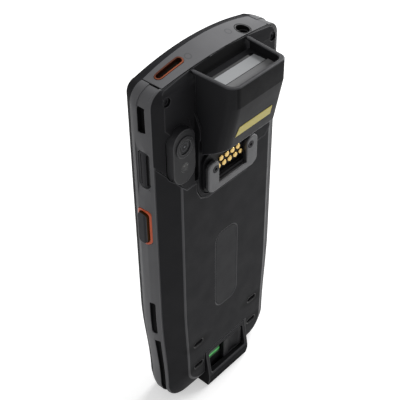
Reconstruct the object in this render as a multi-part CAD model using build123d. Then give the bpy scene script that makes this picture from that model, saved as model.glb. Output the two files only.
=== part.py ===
from build123d import *
import os
from math import atan2, cos, degrees, radians, sin, sqrt

# Portable barcode data terminal, standing on its lower end.
# Millimetres, +Z up, screen towards -Y, scanner hood and back panel towards +Y.
# The origin is the middle of the flat lower end.

# ---- body outline, seen from the back ----
HALF_W = 38.0            # half width across the side bumpers
FOOT_DRAW = 3.5          # how much narrower each side is above the lower corners
FOOT_HALF_W = HALF_W - FOOT_DRAW
LOW_R = 12.0             # radius of the lower corners
TAPER_TOP = 62.0         # height where the sides start to draw in
TOP_Z = 174.0            # height of the two top seams
TOP_R = 8.0              # radius of the upper corners
ARCH_FRONT = 4.6         # rise of the top cap along its front edge
ARCH_BACK = 1.8          # rise of the top cap along its back edge
ARCH_STEP = 0.2          # front frame over the top cap
BEZEL_ARCH = 3.7         # rise of the front rim over the seams
BEZEL_LIFT = 0.6         # front rim above the lower end
BEZEL_DROP = 0.7         # front rim below the top seams
FRONT_INSET = 3.7        # how far the front rim lies inside the bumpers
EDGE_INSET = 1.1         # how far the bumper edges are drawn in
BACK_INSET = 1.8         # how far the rounded back edge is drawn in
ROUND_INSET = 0.9        # the same, part way round the edge
FOOT_INSET = 0.6         # how far the back edge is drawn in near the foot

# ---- levels through the thickness ----
BEZEL_T = 4.0            # height of the front frame over the bumpers
FRONT_Y = -10.0          # front rim
BEZEL_Y = FRONT_Y + BEZEL_T
BAND_W = 9.9             # width of the bumpers
BAND_Y = BEZEL_Y + BAND_W
CAP_BACK_Y = BAND_Y
SIDE_FRONT = 2.6         # width of the bumper's front slope
SIDE_BACK = 3.8          # width of its rounded back edge
SIDE_EDGE = 1.4          # the steeper part of that edge
DECK_RISE = 2.6          # upper back surface over the bumpers
DECK_Y = BAND_Y + DECK_RISE
PLATEAU_RISE = 2.9       # flat back over the upper surface
PLATEAU_Y = DECK_Y + PLATEAU_RISE
SEAL_T = 1.6             # foam between front frame and midframe
MID_Y0 = BEZEL_Y + SEAL_T
MID_T = 1.4
MID_Y1 = MID_Y0 + MID_T
BEVEL_DROP = 5.8         # height of the bevel behind the top cap
SEAM_GAP = 0.15          # joint line between fixed shells
FIT = 0.05               # mounting clearance between fixed pieces
RUN = 0.3                # gap round a moving key or slider
WALL = 1.4               # wall of the plastic shells
BUMPER_T = 2.6           # thickness of the side bumpers
LIP_T = 1.6              # lip of the bumpers that carries the back
LIP_W = 1.8

# ---- raised back ----
FLANK_W = 11.3           # width of the slope beside the flat
FOOT_FLANK_W = 9.3       # the same near the lower end
PLATEAU_HALF_W = HALF_W - FLANK_W
PLATEAU_FOOT_HALF_W = FOOT_HALF_W - FOOT_FLANK_W
PLATEAU_LOW_Z = 9.5      # lower end of the flat
PLATEAU_LOW_R = 9.0
PLATEAU_TOP_DROP = 2.0
PLATEAU_TOP_R = 3.0
SHOULDER_DROP = 16.5     # top of the shoulder slope below the seams
SHOULDER_H = 6.5         # height of that slope
SHOULDER_END_Z = TOP_Z - SHOULDER_DROP
PLATEAU_END_Z = SHOULDER_END_Z - SHOULDER_H
SEAM_MID_DROP = 47.0     # joint of upper housing and cover, beside the connector
SEAM_MID_Z = TOP_Z - SEAM_MID_DROP
SEAM_KNEE_Z = SEAM_MID_Z + 3.2
SEAM_SIDE_Z = SEAM_KNEE_Z + 14.4
SEAM_STEP_W = 3.0

# ---- top cap ----
CAP_HALF_W = HALF_W - TOP_R
CAP_DEPTH = 6.0          # height of the cap's skirt
CAP_SKIN = 1.6
CAP_WALL = 2.4
SHADOW_GAP = 0.35        # open joint round the cap's upper edge
SHADOW_DEPTH = 1.6
POWER_IN = 9.8           # middle of the power key from the cap's end
POWER_X = CAP_HALF_W - POWER_IN
POWER_BACK = 4.2
POWER_Y = BEZEL_Y + POWER_BACK
POWER_LEN = 12.4
POWER_W = 1.8
POWER_WALL = 0.7         # orange ring round the key
POWER_FLANGE = 0.35      # rim that holds the key under its ring
POWER_TRAVEL = 0.5
POWER_SUNK = 0.9         # face of the key below the cap
POWER_PROUD = 0.12       # ring over the cap
RING_T = 1.0             # height of the ring's seat in the cap
KEY_LEN = 2.0            # depth of the key's lower face below the seams
JACK_IN = 11.1           # middle of the socket from the cap's end
JACK_X = -(CAP_HALF_W - JACK_IN)
JACK_BACK = 6.3
JACK_Y = BEZEL_Y + JACK_BACK
JACK_BORE_R = 1.8
JACK_DEPTH = 14.0
JACK_COLLAR_R = 2.7
JACK_BODY_HALF_W = 3.2
JACK_BOTTOM_T = 1.0
JACK_BACK_FLAT = 0.2

# ---- side keys ----
VOL_DROP = 34.3          # middle of the key below the seams
VOL_Z = TOP_Z - VOL_DROP
VOL_LEN = 16.8
VOL_W = 5.0
VOL_Y = -0.1
VOL_SUNK = 0.6           # face of the key below the bumper's surface
VOL_DEPTH = 3.8          # back of the key below the bumper's surface
VOL_BACK_X = HALF_W - VOL_DEPTH
VOL_R = 1.8
VOL_LINES = ((-1.3, 0.2), (1.5, 0.5))   # two grooves along the key: middle, half width
VOL_LINE_DEPTH = 0.7
VOL_LINE_END = 1.2
SCOOP_REACH = 4.5        # hollow above and below the key
SCOOP_DEPTH = 0.5
SCOOP_HALF_W = 3.2
VOL_PIN_R = 0.5
VOL_PIN_L = 0.5
VOL_PIN_IN = 0.7         # pin centre from the key's back face
PIN_BOSS_HALF = 1.2
PIN_BOSS_HALF_H = 1.8
SCAN_DROP = 62.9
SCAN_Z = TOP_Z - SCAN_DROP
SCAN_LEN = 15.4
SCAN_W = 4.4
SCAN_Y = -1.0
SCAN_R = 1.8
SEAT_DEPTH = 2.4         # seat of the ring below the bumper's surface
SCAN_SEAT_X = HALF_W - SEAT_DEPTH
SCAN_FOOT = 0.9          # key behind the ring's seat
SCAN_BACK_X = SCAN_SEAT_X - SCAN_FOOT
KEY_FLANGE = 0.6         # rim that holds a key behind its ring
SCAN_TRAVEL = 0.6
SCAN_PROUD = 1.3         # face of the key over the bumper
RING_WALL = 1.0
RING_PROUD = 0.2
RING_R = 2.6
SWITCH_T = 0.9           # body of a key switch
SWITCH_GAP = 0.1         # left between switch and key at full press
SWITCH_HALF_W = 1.6
SWITCH_HALF_LEN = 3.0
VOL_SWITCH_HALF = 1.5
VOL_SWITCH_Z = 5.0       # the two switches above and below the key's pins
FLEX_T = 0.6
FLEX_HALF_W = 2.4
FLEX_HALF_LEN = 7.0
SHELF_HALF_W = 5.0

# ---- recesses in the bumpers ----
STRAP_DROP = 5.9
STRAP_LEN = 10.8
STRAP_Z1 = TOP_Z - STRAP_DROP
STRAP_Z0 = STRAP_Z1 - STRAP_LEN
STRAP_Y = 0.1
STRAP_W = 3.2
STRAP_DEPTH = 2.2
CHANNEL_W = 4.8          # shallow channel from the strap slot to the top seam
CHANNEL_Y = 0.4
CHANNEL_DEPTH = 0.45
SLOT_Z0 = 49.0
SLOT_LEN = 19.2
SLOT_Y = 0.5
SLOT_W = 2.8
SLOT_R = 0.8
SLOT_DEPTH = 1.4
GROOVE_Z0 = 2.5
GROOVE_Z1 = 44.0
GROOVE_Y = 1.2
GROOVE_W = 2.8
GROOVE_END = 5.0         # groove ends this far round the lower corner

# ---- scanner hood ----
HOOD_HALF_W = 15.6       # side next to the camera
HOOD_FAR_W = 14.9        # other side, at its back
HOOD_FLARE = 2.4         # how much further out that side starts at the cap
HOOD_RISE = 1.2          # hood over the seams
HOOD_TOP_Z = TOP_Z + HOOD_RISE
HOOD_DEPTH = 16.0        # hood over the flat back
HOOD_BACK_Y = PLATEAU_Y + HOOD_DEPTH
HOOD_BACK_H = 9.2        # height of its upright back
HOOD_KNEE_Z = HOOD_TOP_Z - HOOD_BACK_H
HOOD_RAMP_H = 20.3       # height of its slanted back
HOOD_TOE_Z = HOOD_KNEE_Z - HOOD_RAMP_H
HOOD_TOE_D = 11.7        # lower end of the slant over the flat back
HOOD_TOE_Y = PLATEAU_Y + HOOD_TOE_D
HOOD_UNDER_H = 7.1
HOOD_UNDER_Z = HOOD_TOE_Z - HOOD_UNDER_H
HOOD_CORNER_R = 4.2
HOOD_FAR_R = 3.2
HOOD_WALL = 1.7
HOOD_LEDGE = 1.0
HOOD_SEAT_R = 3.0
WINDOW_DROP = 3.8        # window below the rim
WINDOW_Z = HOOD_TOP_Z - WINDOW_DROP
WINDOW_IN = 3.1          # front of the window from the upper surface
WINDOW_W = 7.0
WINDOW_Y0 = DECK_Y + WINDOW_IN
WINDOW_Y1 = WINDOW_Y0 + WINDOW_W
WINDOW_T = 1.2
WINDOW_FRAME_T = 1.8
WINDOW_HALF_W = 13.0
WINDOW_LEDGE = 0.8
LABEL_T = 0.15
LABEL_UP = 5.4           # strip above the lower end of the slant
LABEL_H = 4.3
LABEL_Z0 = HOOD_TOE_Z + LABEL_UP
LABEL_Z1 = LABEL_Z0 + LABEL_H
LABEL_X0 = -9.6
LABEL_X1 = 11.0
LABEL_SLANT = 1.5

# ---- scan engine ----
ENGINE_HALF_W = 11.0
ENGINE_LIFT = 2.0        # engine over the upper surface
ENGINE_DEPTH = 10.0
ENGINE_GAP = 1.2         # engine below the window's frame
ENGINE_H = 12.9
LENS_R = 2.4
LENS_PITCH = 6.5
LENS_SEAT = 2.0
LENS_PROUD = 0.6

# ---- camera island ----
CAM_HALF_W = 5.9
CAM_GAP = 4.3            # island from the side of the hood
CAM_X = HOOD_HALF_W + CAM_GAP + CAM_HALF_W
CAM_LEN = 24.8
CAM_DROP = 17.2
CAM_Z1 = TOP_Z - CAM_DROP
CAM_Z0 = CAM_Z1 - CAM_LEN
CAM_LENS_DOWN = 7.6
CAM_LENS_Z = CAM_Z1 - CAM_LENS_DOWN
CAM_PITCH = 9.8          # lens to flash
CAM_FLASH_Z = CAM_LENS_Z - CAM_PITCH
CAM_PROUD = 1.0
CAM_RING_R = 4.6
CAM_RING_PROUD = 0.5
CAM_LENS_R = 2.9
CAM_LIGHT_R = 1.6
CAM_FLOOR = 1.2
CAM_BODY_HALF = 4.0
CAM_BODY_T = 4.5
FLASH_R = 1.8
FLASH_LIGHT_R = 1.1
FLASH_SUNK = 0.1
LED_HALF = 2.0
LED_T = 1.4

# ---- rear connector ----
DISH_HALF_W = 17.0
DISH_DROP = 57.4
DISH_Z0 = TOP_Z - DISH_DROP
DISH_R = 9.0
DISH_DEPTH = 0.8
CONN_HALF_W = 14.9
CONN_UP = 2.0            # connector above the lower edge of its dish
CONN_H = 18.8
CONN_Z0 = DISH_Z0 + CONN_UP
CONN_Z1 = CONN_Z0 + CONN_H
CONN_R = 4.0
PAD_FLOOR_T = 1.5
PAD_FLOOR_Y = PLATEAU_Y - DISH_DEPTH + PAD_FLOOR_T
RISER_T = 1.0
RISER_Y = PAD_FLOOR_Y + RISER_T
BRACKET_T = 1.6
BRACKET_HALF_W = 15.0
BRACKET_ARM_W = 6.6
BRACKET_UP = 1.2
BRACKET_BAR_H = 4.6
BRACKET_H = 14.8
BRACKET_Z0 = CONN_Z0 + BRACKET_UP
BRACKET_BAR_Z1 = BRACKET_Z0 + BRACKET_BAR_H
BRACKET_Z1 = BRACKET_Z0 + BRACKET_H
BRACKET_END_IN = 2.0
BRACKET_BAR_R = 1.2
BRACKET_ARM_R = 2.8
BRACKET_ARM_UP = 0.4
BRACKET_EDGE = 0.35
PAD_R = 1.3
PAD_STEM_R = 1.0
PAD_STEM_L = 0.5
PAD_PITCH = 3.4
PAD_ROWS = (5, 4)        # lower and upper row, the upper one between the lower ones
PAD_UP = 4.4             # lower row above the bracket's bar
PAD_Z_LOW = BRACKET_BAR_Z1 + PAD_UP
PAD_ROW = 3.2
PAD_RISE = 0.8
POCKET_EDGE = 0.2
BRACKET_SCREW_IN = 4.3
BRACKET_SCREW_X = BRACKET_HALF_W - BRACKET_SCREW_IN
BRACKET_SCREW_DOWN = 3.8
BRACKET_SCREW_Z = BRACKET_Z1 - BRACKET_SCREW_DOWN
SMALL_HEAD_R = 1.6
SMALL_SHANK_R = 0.8
HEAD_T = 0.6
SMALL_HEX_R = 0.7
SMALL_HEX_T = 0.4

# ---- back marks ----
PLAQUE_HALF_W = 6.8
PLAQUE_Z0 = 47.0
PLAQUE_LEN = 43.5
PLAQUE_Z1 = PLAQUE_Z0 + PLAQUE_LEN
PLAQUE_DEPTH = 0.3
PLAQUE_T = 0.15
PLAQUE_R = 4.5
DIMPLE_X = 18.7
DIMPLE_Z = (18.6, 33.2)
DIMPLE_LEN = 5.4
DIMPLE_H = 2.4
DIMPLE_DEPTH = 0.8

# ---- latch block ----
BLOCK_HALF_W = 14.0
BLOCK_TOP_Z = 22.2
BLOCK_RISE = 2.4         # thick end of the block over the flat back
BLOCK_Y = PLATEAU_Y + BLOCK_RISE
BLOCK_LIP_Z = 7.0
BLOCK_TOP_RISE = 0.05
BLOCK_SLANT = 1.0        # lower edge drawn in under the lip
BLOCK_SLANT_H = 4.4
LATCH_EDGE = 2.0         # wall beside the slider's pocket
LATCH_HALF_W = BLOCK_HALF_W - LATCH_EDGE
LATCH_H = 12.2
LATCH_TOP_WALL = 1.8
LATCH_Z1 = BLOCK_TOP_Z - LATCH_TOP_WALL
LATCH_Z0 = LATCH_Z1 - LATCH_H
LATCH_R = 1.0
LATCH_DEPTH = 4.4
LATCH_FLOOR_Y = BLOCK_Y - LATCH_DEPTH
LATCH_LIP_H = 1.4        # lip over the pocket's floor
LATCH_LIP_Y = LATCH_FLOOR_Y + LATCH_LIP_H
LATCH_LIP = 0.9
SLIDER_END_GAP = 0.5
SLIDER_X0 = -LATCH_HALF_W + SLIDER_END_GAP
SLIDER_LEN = 13.0
SLIDER_TRAVEL = 6.0
SLIDER_SUNK = 2.2        # face of the slider below the block
SLIDER_FACE_Y = BLOCK_Y - SLIDER_SUNK
SLIDER_R = 0.8
SLIDER_STEP = 0.4
FOOT_T = 0.8
FOOT_LIFT = 0.25
GRIP_R = 9.0             # hollow for the thumb
GRIP_DEPTH = 0.9
GRIP_END = 1.2
TONGUE_IN = 6.9
TONGUE_X = SLIDER_X0 + TONGUE_IN
TONGUE_W = 2.0
TONGUE_REACH = 3.4
TONGUE_H = 4.0
HOOK_DOWN = 1.2          # hook below the back edge of the bumpers
HOOK_Y = BAND_Y - HOOK_DOWN
HOOK_T = 1.0
HOOK_HOLD = 1.0
KEEPER_X0 = -15.0
KEEPER_POST = 4.0
KEEPER_HALF_H = 3.0
KEEPER_LEDGE_T = 0.7
MARK_LEN = 7.4
MARK_GAP = 0.8
MARK_H = 4.0
MARK_DOWN = 5.5
MARK_T = 0.1

# ---- screen ----
GLASS_INSET = 2.0        # rim of the front frame round the glass
GLASS_T = 0.9
GLASS_DROP = 0.2         # glass below the rim
VIEW_INSET = 5.8
VIEW_R = 2.0
CHIN = 11.0              # frame under and over the screen opening
DISPLAY_T = 1.7
DISPLAY_FIT = 0.2
EAR_DOWN = 3.2
EAR_Z = TOP_Z - CAP_DEPTH - EAR_DOWN
EAR_HALF_W = 7.0
EAR_H = 3.2
EAR_SLOT_IN = 1.0
EAR_SLOT_HALF_H = 0.7
FRONT_CAM_X = 16.0
FRONT_CAM_R = 2.2

# ---- inside ----
BOARD_T = 1.0
BOARD_IN = 7.0
BOARD_HALF_W = HALF_W - BOARD_IN
BOARD_DROP = 17.0
BOARD_LEN = 37.0
BOARD_Z1 = TOP_Z - BOARD_DROP
BOARD_Z0 = BOARD_Z1 - BOARD_LEN
BOARD_HOLE_EDGE = 1.1
CAN_T = 2.0
CAN_HIGH_W = 18.0
CAN_HIGH_H = 20.0
CAN_LOW_W = 20.0
CAN_LOW_H = 10.5
CAN_X = 17.0
CAN_MID_X = 3.5
CAN_LOW_X = 4.0
CAN_HIGH_UP = 14.0
CAN_LOW_UP = 1.5
BATT_EDGE = 0.6
BATT_HALF_W = PLATEAU_FOOT_HALF_W - BATT_EDGE
BATT_GAP = 7.0           # board above the battery
BATT_Z1 = BOARD_Z0 - BATT_GAP
BATT_OVER_LATCH = 4.8
BATT_Z0 = BLOCK_TOP_Z + BATT_OVER_LATCH
BATT_WALL = 0.8
BATT_UNDER = 1.7
BATT_Y1 = PLATEAU_Y - BATT_UNDER
BATT_R = 1.5
BLADE_PITCH = 5.0
BLADE_HALF_W = 1.2
BLADE_H = 4.0
END_CAP_H = 5.0
SCREW_OUT = 0.1
SCREW_X = CAP_HALF_W + SCREW_OUT
SCREW_DOWN = 4.6
SCREW_Z = TOP_Z - SCREW_DOWN
SCREW_HEAD_R = 1.8
SCREW_SHANK_R = 1.0
SCREW_SEAT = 1.3
SCREW_HEAD_T = 0.5
SCREW_LEN = 3.0
HEX_R = 0.8
HEX_T = 0.35
BOSS_T = 0.9
BOSS_TOP_IN = 2.9
INNER_SCREW_IN = 8.0
INNER_SCREW_X = HALF_W - INNER_SCREW_IN
INNER_SCREW_UP = 4.5
INNER_SCREW_Z = BOARD_Z0 + INNER_SCREW_UP
SPEAKER_HALF_W = 11.0
SPEAKER_LIFT = 1.2
SPEAKER_H = 3.5
SPEAKER_T = 5.35
SPEAKER_R = 1.0
MOTOR_IN = 11.5
MOTOR_X = FOOT_HALF_W - MOTOR_IN
MOTOR_Z = 19.0
MOTOR_R = 4.4
MOTOR_T = 3.75

FAR = 80.0               # half size of the cutting blocks


def block(x0, x1, y0, y1, z0, z1):
    size = Box(x1 - x0, y1 - y0, z1 - z0)
    return Pos((x0 + x1) / 2, (y0 + y1) / 2, (z0 + z1) / 2) * size


def soft_block(x0, x1, y0, y1, z0, z1, axis, radius):
    spans = {Axis.X: (y1 - y0, z1 - z0), Axis.Y: (x1 - x0, z1 - z0), Axis.Z: (x1 - x0, y1 - y0)}
    limit = 0.499 * min(spans[axis])
    solid = block(x0, x1, y0, y1, z0, z1)
    return fillet(solid.edges().filter_by(axis), min(radius, limit))


def slab_xz(points, y0, y1):
    face = Face(Wire.make_polygon([(x, y0, z) for x, z in points], close=True))
    return extrude(face, amount=y1 - y0, dir=(0, 1, 0))


def slab_yz(points, x0, x1):
    face = Face(Wire.make_polygon([(x0, y, z) for y, z in points], close=True))
    return extrude(face, amount=x1 - x0, dir=(1, 0, 0))


def rod_y(x, z, radius, y0, y1):
    return Pos(x, (y0 + y1) / 2, z) * Rot(90, 0, 0) * Cylinder(radius, y1 - y0)


def rod_z(x, y, radius, z0, z1):
    return Pos(x, y, (z0 + z1) / 2) * Cylinder(radius, z1 - z0)


def section(y, side, foot, low, low_r, top, top_r, arch):
    """Closed outline with round corners at one level of the thickness."""
    flat = foot - low_r
    cap = side - top_r
    d = sqrt(0.5)
    edges = [Line((-flat, y, low), (flat, y, low))]
    for s in (1, -1):
        a = (s * flat, y, low)
        b = (s * (flat + low_r * d), y, low + low_r * (1 - d))
        c = (s * foot, y, low + low_r)
        e = (s * side, y, TAPER_TOP)
        f = (s * side, y, top - top_r)
        g = (s * (cap + top_r * d), y, top - top_r * (1 - d))
        h = (s * cap, y, top)
        part = [
            ThreePointArc(a, b, c),
            Spline([c, e], tangents=[(0, 0, 1), (0, 0, 1)]),
            Line(e, f),
            ThreePointArc(f, g, h),
        ]
        edges += part if s > 0 else part[::-1]
        if s > 0:
            end = (-cap, y, top)
            edges.append(ThreePointArc(h, (0, y, top + arch), end) if arch else Line(h, end))
    return Face(Wire(edges))


def outline(y, inset=0.0, arch=0.0, drop=0.0, foot_inset=None):
    """Outline of the terminal itself, drawn in by an inset."""
    foot = FOOT_HALF_W - (inset if foot_inset is None else foot_inset)
    return section(y, HALF_W - inset, foot, drop, LOW_R, TOP_Z - drop, TOP_R - inset, arch)


def stack(*levels):
    return Solid.make_loft([level.outer_wire() for level in levels], True)


def above_bevel():
    """Space behind the bevel that runs from the cap's back edge to the deck."""
    slope = (DECK_Y - CAP_BACK_Y) / BEVEL_DROP
    reach = 12.0
    return slab_yz(
        [
            (CAP_BACK_Y - slope * reach, TOP_Z + ARCH_BACK + reach),
            (CAP_BACK_Y, TOP_Z + ARCH_BACK),
            (DECK_Y + slope * 2, TOP_Z + ARCH_BACK - BEVEL_DROP - 2),
            (FAR, TOP_Z + ARCH_BACK - BEVEL_DROP - 2),
            (FAR, TOP_Z + ARCH_BACK + reach),
        ],
        -FAR,
        FAR,
    )


def cap_blank(lift=0.0):
    """Arched block of the top cap, from its front edge to its back edge."""
    faces = []
    half = CAP_HALF_W - SEAM_GAP
    for y, arch in ((BEZEL_Y, ARCH_FRONT), (CAP_BACK_Y, ARCH_BACK)):
        low = TOP_Z - CAP_DEPTH
        top = TOP_Z + lift
        edges = [
            Line((-half, y, low), (half, y, low)),
            Line((half, y, low), (half, y, top)),
            ThreePointArc((half, y, top), (0, y, top + arch), (-half, y, top)),
            Line((-half, y, top), (-half, y, low)),
        ]
        faces.append(Face(Wire(edges)))
    return stack(*faces)


def pill_z(x, y, length, width, z0, z1):
    return soft_block(x - length / 2, x + length / 2, y - width / 2, y + width / 2, z0, z1, Axis.Z, width / 2)


def pill_x(y, z, width, length, x0, x1, radius):
    return soft_block(x0, x1, y - width / 2, y + width / 2, z - length / 2, z + length / 2, Axis.X, radius)


def plateau(shrink=0.0):
    """Raised back: a flat with sloping flanks, narrower towards the lower end."""
    half = shrink / 2
    low_level = section(
        BAND_Y - shrink, HALF_W - BACK_INSET - half, FOOT_HALF_W - FOOT_INSET - half, half, LOW_R,
        TOP_Z - half, TOP_R - BACK_INSET, ARCH_BACK
    )
    high_level = section(
        PLATEAU_Y - shrink, PLATEAU_HALF_W - half, PLATEAU_FOOT_HALF_W - half, PLATEAU_LOW_Z + half,
        PLATEAU_LOW_R, TOP_Z - PLATEAU_TOP_DROP - half, PLATEAU_TOP_R, 0.0
    )
    return stack(low_level, high_level)


def above_deck(drop=0.0):
    """Space above the upper deck and its shoulder slope."""
    slope = (SHOULDER_END_Z - PLATEAU_END_Z) / (PLATEAU_Y - DECK_Y)
    deck = DECK_Y - drop
    reach = 6.0
    return slab_yz(
        [
            (deck, SHOULDER_END_Z),
            (deck + reach, SHOULDER_END_Z - slope * reach),
            (FAR, SHOULDER_END_Z - slope * reach),
            (FAR, FAR * 3),
            (deck, FAR * 3),
        ],
        -FAR,
        FAR,
    )


def back_body():
    return plateau() - above_deck()


def upper_region(gap):
    """Everything above the joint of the upper housing and the battery cover."""
    knee = PLATEAU_HALF_W
    neck = DISH_HALF_W + 0.6
    low = DISH_Z0 - 0.6
    edge = FAR
    rise = (SEAM_SIDE_Z - SEAM_KNEE_Z) / (HALF_W - knee)
    right = [
        (edge, SEAM_KNEE_Z + rise * (edge - knee) + gap),
        (knee, SEAM_KNEE_Z + gap),
        (knee - SEAM_STEP_W, SEAM_MID_Z + gap),
        (neck - gap, SEAM_MID_Z + gap),
        (neck - gap, low + 6.0 + gap),
        (neck - 2.0 - gap, low + 2.0 + gap),
        (neck - 6.0 - gap, low + gap),
    ]
    left = [(-x, z) for x, z in reversed(right)]
    top = FAR + right[0][1]
    return slab_xz(right + left + [(-edge, top), (edge, top)], -FAR, FAR)


def hood_profile(inner=0.0):
    return [
        (CAP_BACK_Y + inner, HOOD_UNDER_Z + inner),
        (CAP_BACK_Y + inner, HOOD_TOP_Z),
        (HOOD_BACK_Y - inner, HOOD_TOP_Z),
        (HOOD_BACK_Y - inner, HOOD_KNEE_Z),
        (HOOD_TOE_Y - inner, HOOD_TOE_Z + inner),
        (PLATEAU_Y, HOOD_UNDER_Z + inner),
    ]


def ramp_y(z):
    return HOOD_TOE_Y + (HOOD_BACK_Y - HOOD_TOE_Y) * (z - HOOD_TOE_Z) / (HOOD_KNEE_Z - HOOD_TOE_Z)


# ---- shells ----
def rounded_side(lift):
    """Body of the bumpers: upright in the middle, rounded towards the back edge."""
    return stack(
        outline(BEZEL_Y, EDGE_INSET - lift),
        outline(BEZEL_Y + SIDE_FRONT, -lift),
        outline(BAND_Y - SIDE_BACK, -lift),
        outline(BAND_Y - SIDE_EDGE, ROUND_INSET - lift, foot_inset=FOOT_INSET / 2 - lift),
        outline(BAND_Y, BACK_INSET - lift, foot_inset=FOOT_INSET - lift),
    )


def make_bumper(side):
    """Grey side bumper, from the top seam round the lower corner to the end cap."""
    blank = rounded_side(0.0)
    lip_y = BAND_Y - LIP_T
    hollow = extrude(outline(BEZEL_Y - 1, BUMPER_T), amount=lip_y - BEZEL_Y + 1, dir=(0, 1, 0))
    hollow += extrude(outline(lip_y, BUMPER_T + LIP_W), amount=BAND_Y - lip_y + 1, dir=(0, 1, 0))
    hollow = hollow & block(-FAR, FAR, -FAR, FAR, END_CAP_H, TOP_Z - CAP_SKIN - FOOT_INSET)
    solid = blank - hollow
    end_x = FOOT_HALF_W - LOW_R
    solid = solid & (
        block(end_x, FAR, -FAR, FAR, -1, LOW_R * 2) + block(CAP_HALF_W, FAR, -FAR, FAR, LOW_R, TOP_Z + 9)
    )
    out = HALF_W + 4
    half = STRAP_W / 2
    solid -= block(HALF_W - STRAP_DEPTH, out, STRAP_Y - half, STRAP_Y + half, STRAP_Z0, STRAP_Z1)
    channel = edge_groove(CHANNEL_Y, CHANNEL_W, CHANNEL_DEPTH)
    solid -= channel & block(0, FAR, -FAR, FAR, STRAP_Z1, FAR * 3)
    if side > 0:
        solid -= volume_scoop()
        pin_x = VOL_BACK_X + VOL_PIN_IN
        reach = VOL_W / 2 + RUN + VOL_PIN_L + 0.1
        low = VOL_Z - PIN_BOSS_HALF_H
        high = VOL_Z + PIN_BOSS_HALF_H
        boss_y = VOL_Y - reach - VOL_PIN_L
        solid += block(pin_x - PIN_BOSS_HALF, pin_x + PIN_BOSS_HALF, boss_y, BAND_Y - LIP_T, low, high)
        grow = 2 * RUN
        solid -= pill_x(VOL_Y, VOL_Z, VOL_W + grow, VOL_LEN + grow, VOL_BACK_X - VOL_DEPTH, out, VOL_R + RUN)
        solid -= rod_y(pin_x, VOL_Z, VOL_PIN_R + FIT, VOL_Y - reach, VOL_Y + reach)
    solid -= ring_seat()
    solid -= rod_y(SCREW_X, SCREW_Z, SCREW_SHANK_R + FIT, 0, FAR)
    solid -= soft_block(
        HALF_W - SLOT_DEPTH, out, SLOT_Y - SLOT_W / 2, SLOT_Y + SLOT_W / 2, SLOT_Z0, SLOT_Z0 + SLOT_LEN,
        Axis.X, SLOT_R
    )
    groove = edge_groove(GROOVE_Y, GROOVE_W, SLOT_DEPTH)
    solid -= groove & block(end_x + GROOVE_END, FAR, -FAR, FAR, GROOVE_Z0, GROOVE_Z1)
    return solid


def edge_groove(y, width, depth):
    """Ring-shaped cutter that follows the terminal's outline to an even depth."""
    groove = extrude(outline(y - width / 2, -4.0, drop=-4.0), amount=width, dir=(0, 1, 0))
    return groove - extrude(outline(y - width, depth, drop=depth), amount=2 * width, dir=(0, 1, 0))


def volume_scoop():
    """Shallow hollow in the bumper that leads the finger to the volume key."""
    half = VOL_LEN / 2 + RUN
    floor = HALF_W - SCOOP_DEPTH
    low = VOL_Z - half - SCOOP_REACH
    high = VOL_Z + half + SCOOP_REACH
    out = HALF_W + 4
    return slab_xz(
        [
            (HALF_W, low),
            (floor, VOL_Z - half),
            (floor, VOL_Z + half),
            (HALF_W, high),
            (out, high),
            (out, low),
        ],
        VOL_Y - SCOOP_HALF_W,
        VOL_Y + SCOOP_HALF_W,
    )


def ring_seat():
    grow = 2 * (RUN + RING_WALL)
    seat = pill_x(SCAN_Y, SCAN_Z, SCAN_W + grow, SCAN_LEN + grow, SCAN_SEAT_X, HALF_W + 4, RING_R)
    grow = 2 * (RUN + KEY_FLANGE)
    inner = SCAN_SEAT_X - BUMPER_T - LIP_W
    way = pill_x(SCAN_Y, SCAN_Z, SCAN_W + grow, SCAN_LEN + grow, inner, HALF_W, SCAN_R + KEY_FLANGE)
    return seat + way


def make_scan_ring():
    """Orange ring round a scan key, flush with the bumper."""
    grow = 2 * (RUN + RING_WALL - FIT)
    ring = pill_x(SCAN_Y, SCAN_Z, SCAN_W + grow, SCAN_LEN + grow, SCAN_SEAT_X, HALF_W + 2, RING_R)
    ring = ring & rounded_side(RING_PROUD)
    grow = 2 * RUN
    inner = SCAN_SEAT_X - 1
    return ring - pill_x(SCAN_Y, SCAN_Z, SCAN_W + grow, SCAN_LEN + grow, inner, HALF_W + 3, SCAN_R + RUN)


def make_scan_key():
    """Scan key, standing proud of the bumper, with a rim behind the ring."""
    out = HALF_W + 3
    face = pill_x(SCAN_Y, SCAN_Z, SCAN_W, SCAN_LEN, SCAN_BACK_X, out, SCAN_R) & rounded_side(SCAN_PROUD)
    flange = 2 * KEY_FLANGE
    foot = pill_x(SCAN_Y, SCAN_Z, SCAN_W + flange, SCAN_LEN + flange, SCAN_BACK_X, SCAN_SEAT_X - RUN, SCAN_R)
    return face + foot


def make_volume_key():
    key = pill_x(VOL_Y, VOL_Z, VOL_W, VOL_LEN, VOL_BACK_X, HALF_W + 2, VOL_R) & rounded_side(-VOL_SUNK)
    half = VOL_LEN / 2 - VOL_LINE_END
    x = HALF_W - VOL_SUNK - VOL_LINE_DEPTH
    for place, wide in VOL_LINES:
        y = VOL_Y + place
        key -= block(x, HALF_W + 1, y - wide, y + wide, VOL_Z - half, VOL_Z + half)
    reach = VOL_W / 2 + RUN + VOL_PIN_L
    key += rod_y(VOL_BACK_X + VOL_PIN_IN, VOL_Z, VOL_PIN_R, VOL_Y - reach, VOL_Y + reach)
    return key


def make_end_cap():
    half = FOOT_HALF_W - LOW_R - SEAM_GAP
    cap = block(-half, half, BEZEL_Y, BAND_Y, 0, END_CAP_H)
    return cap


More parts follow.
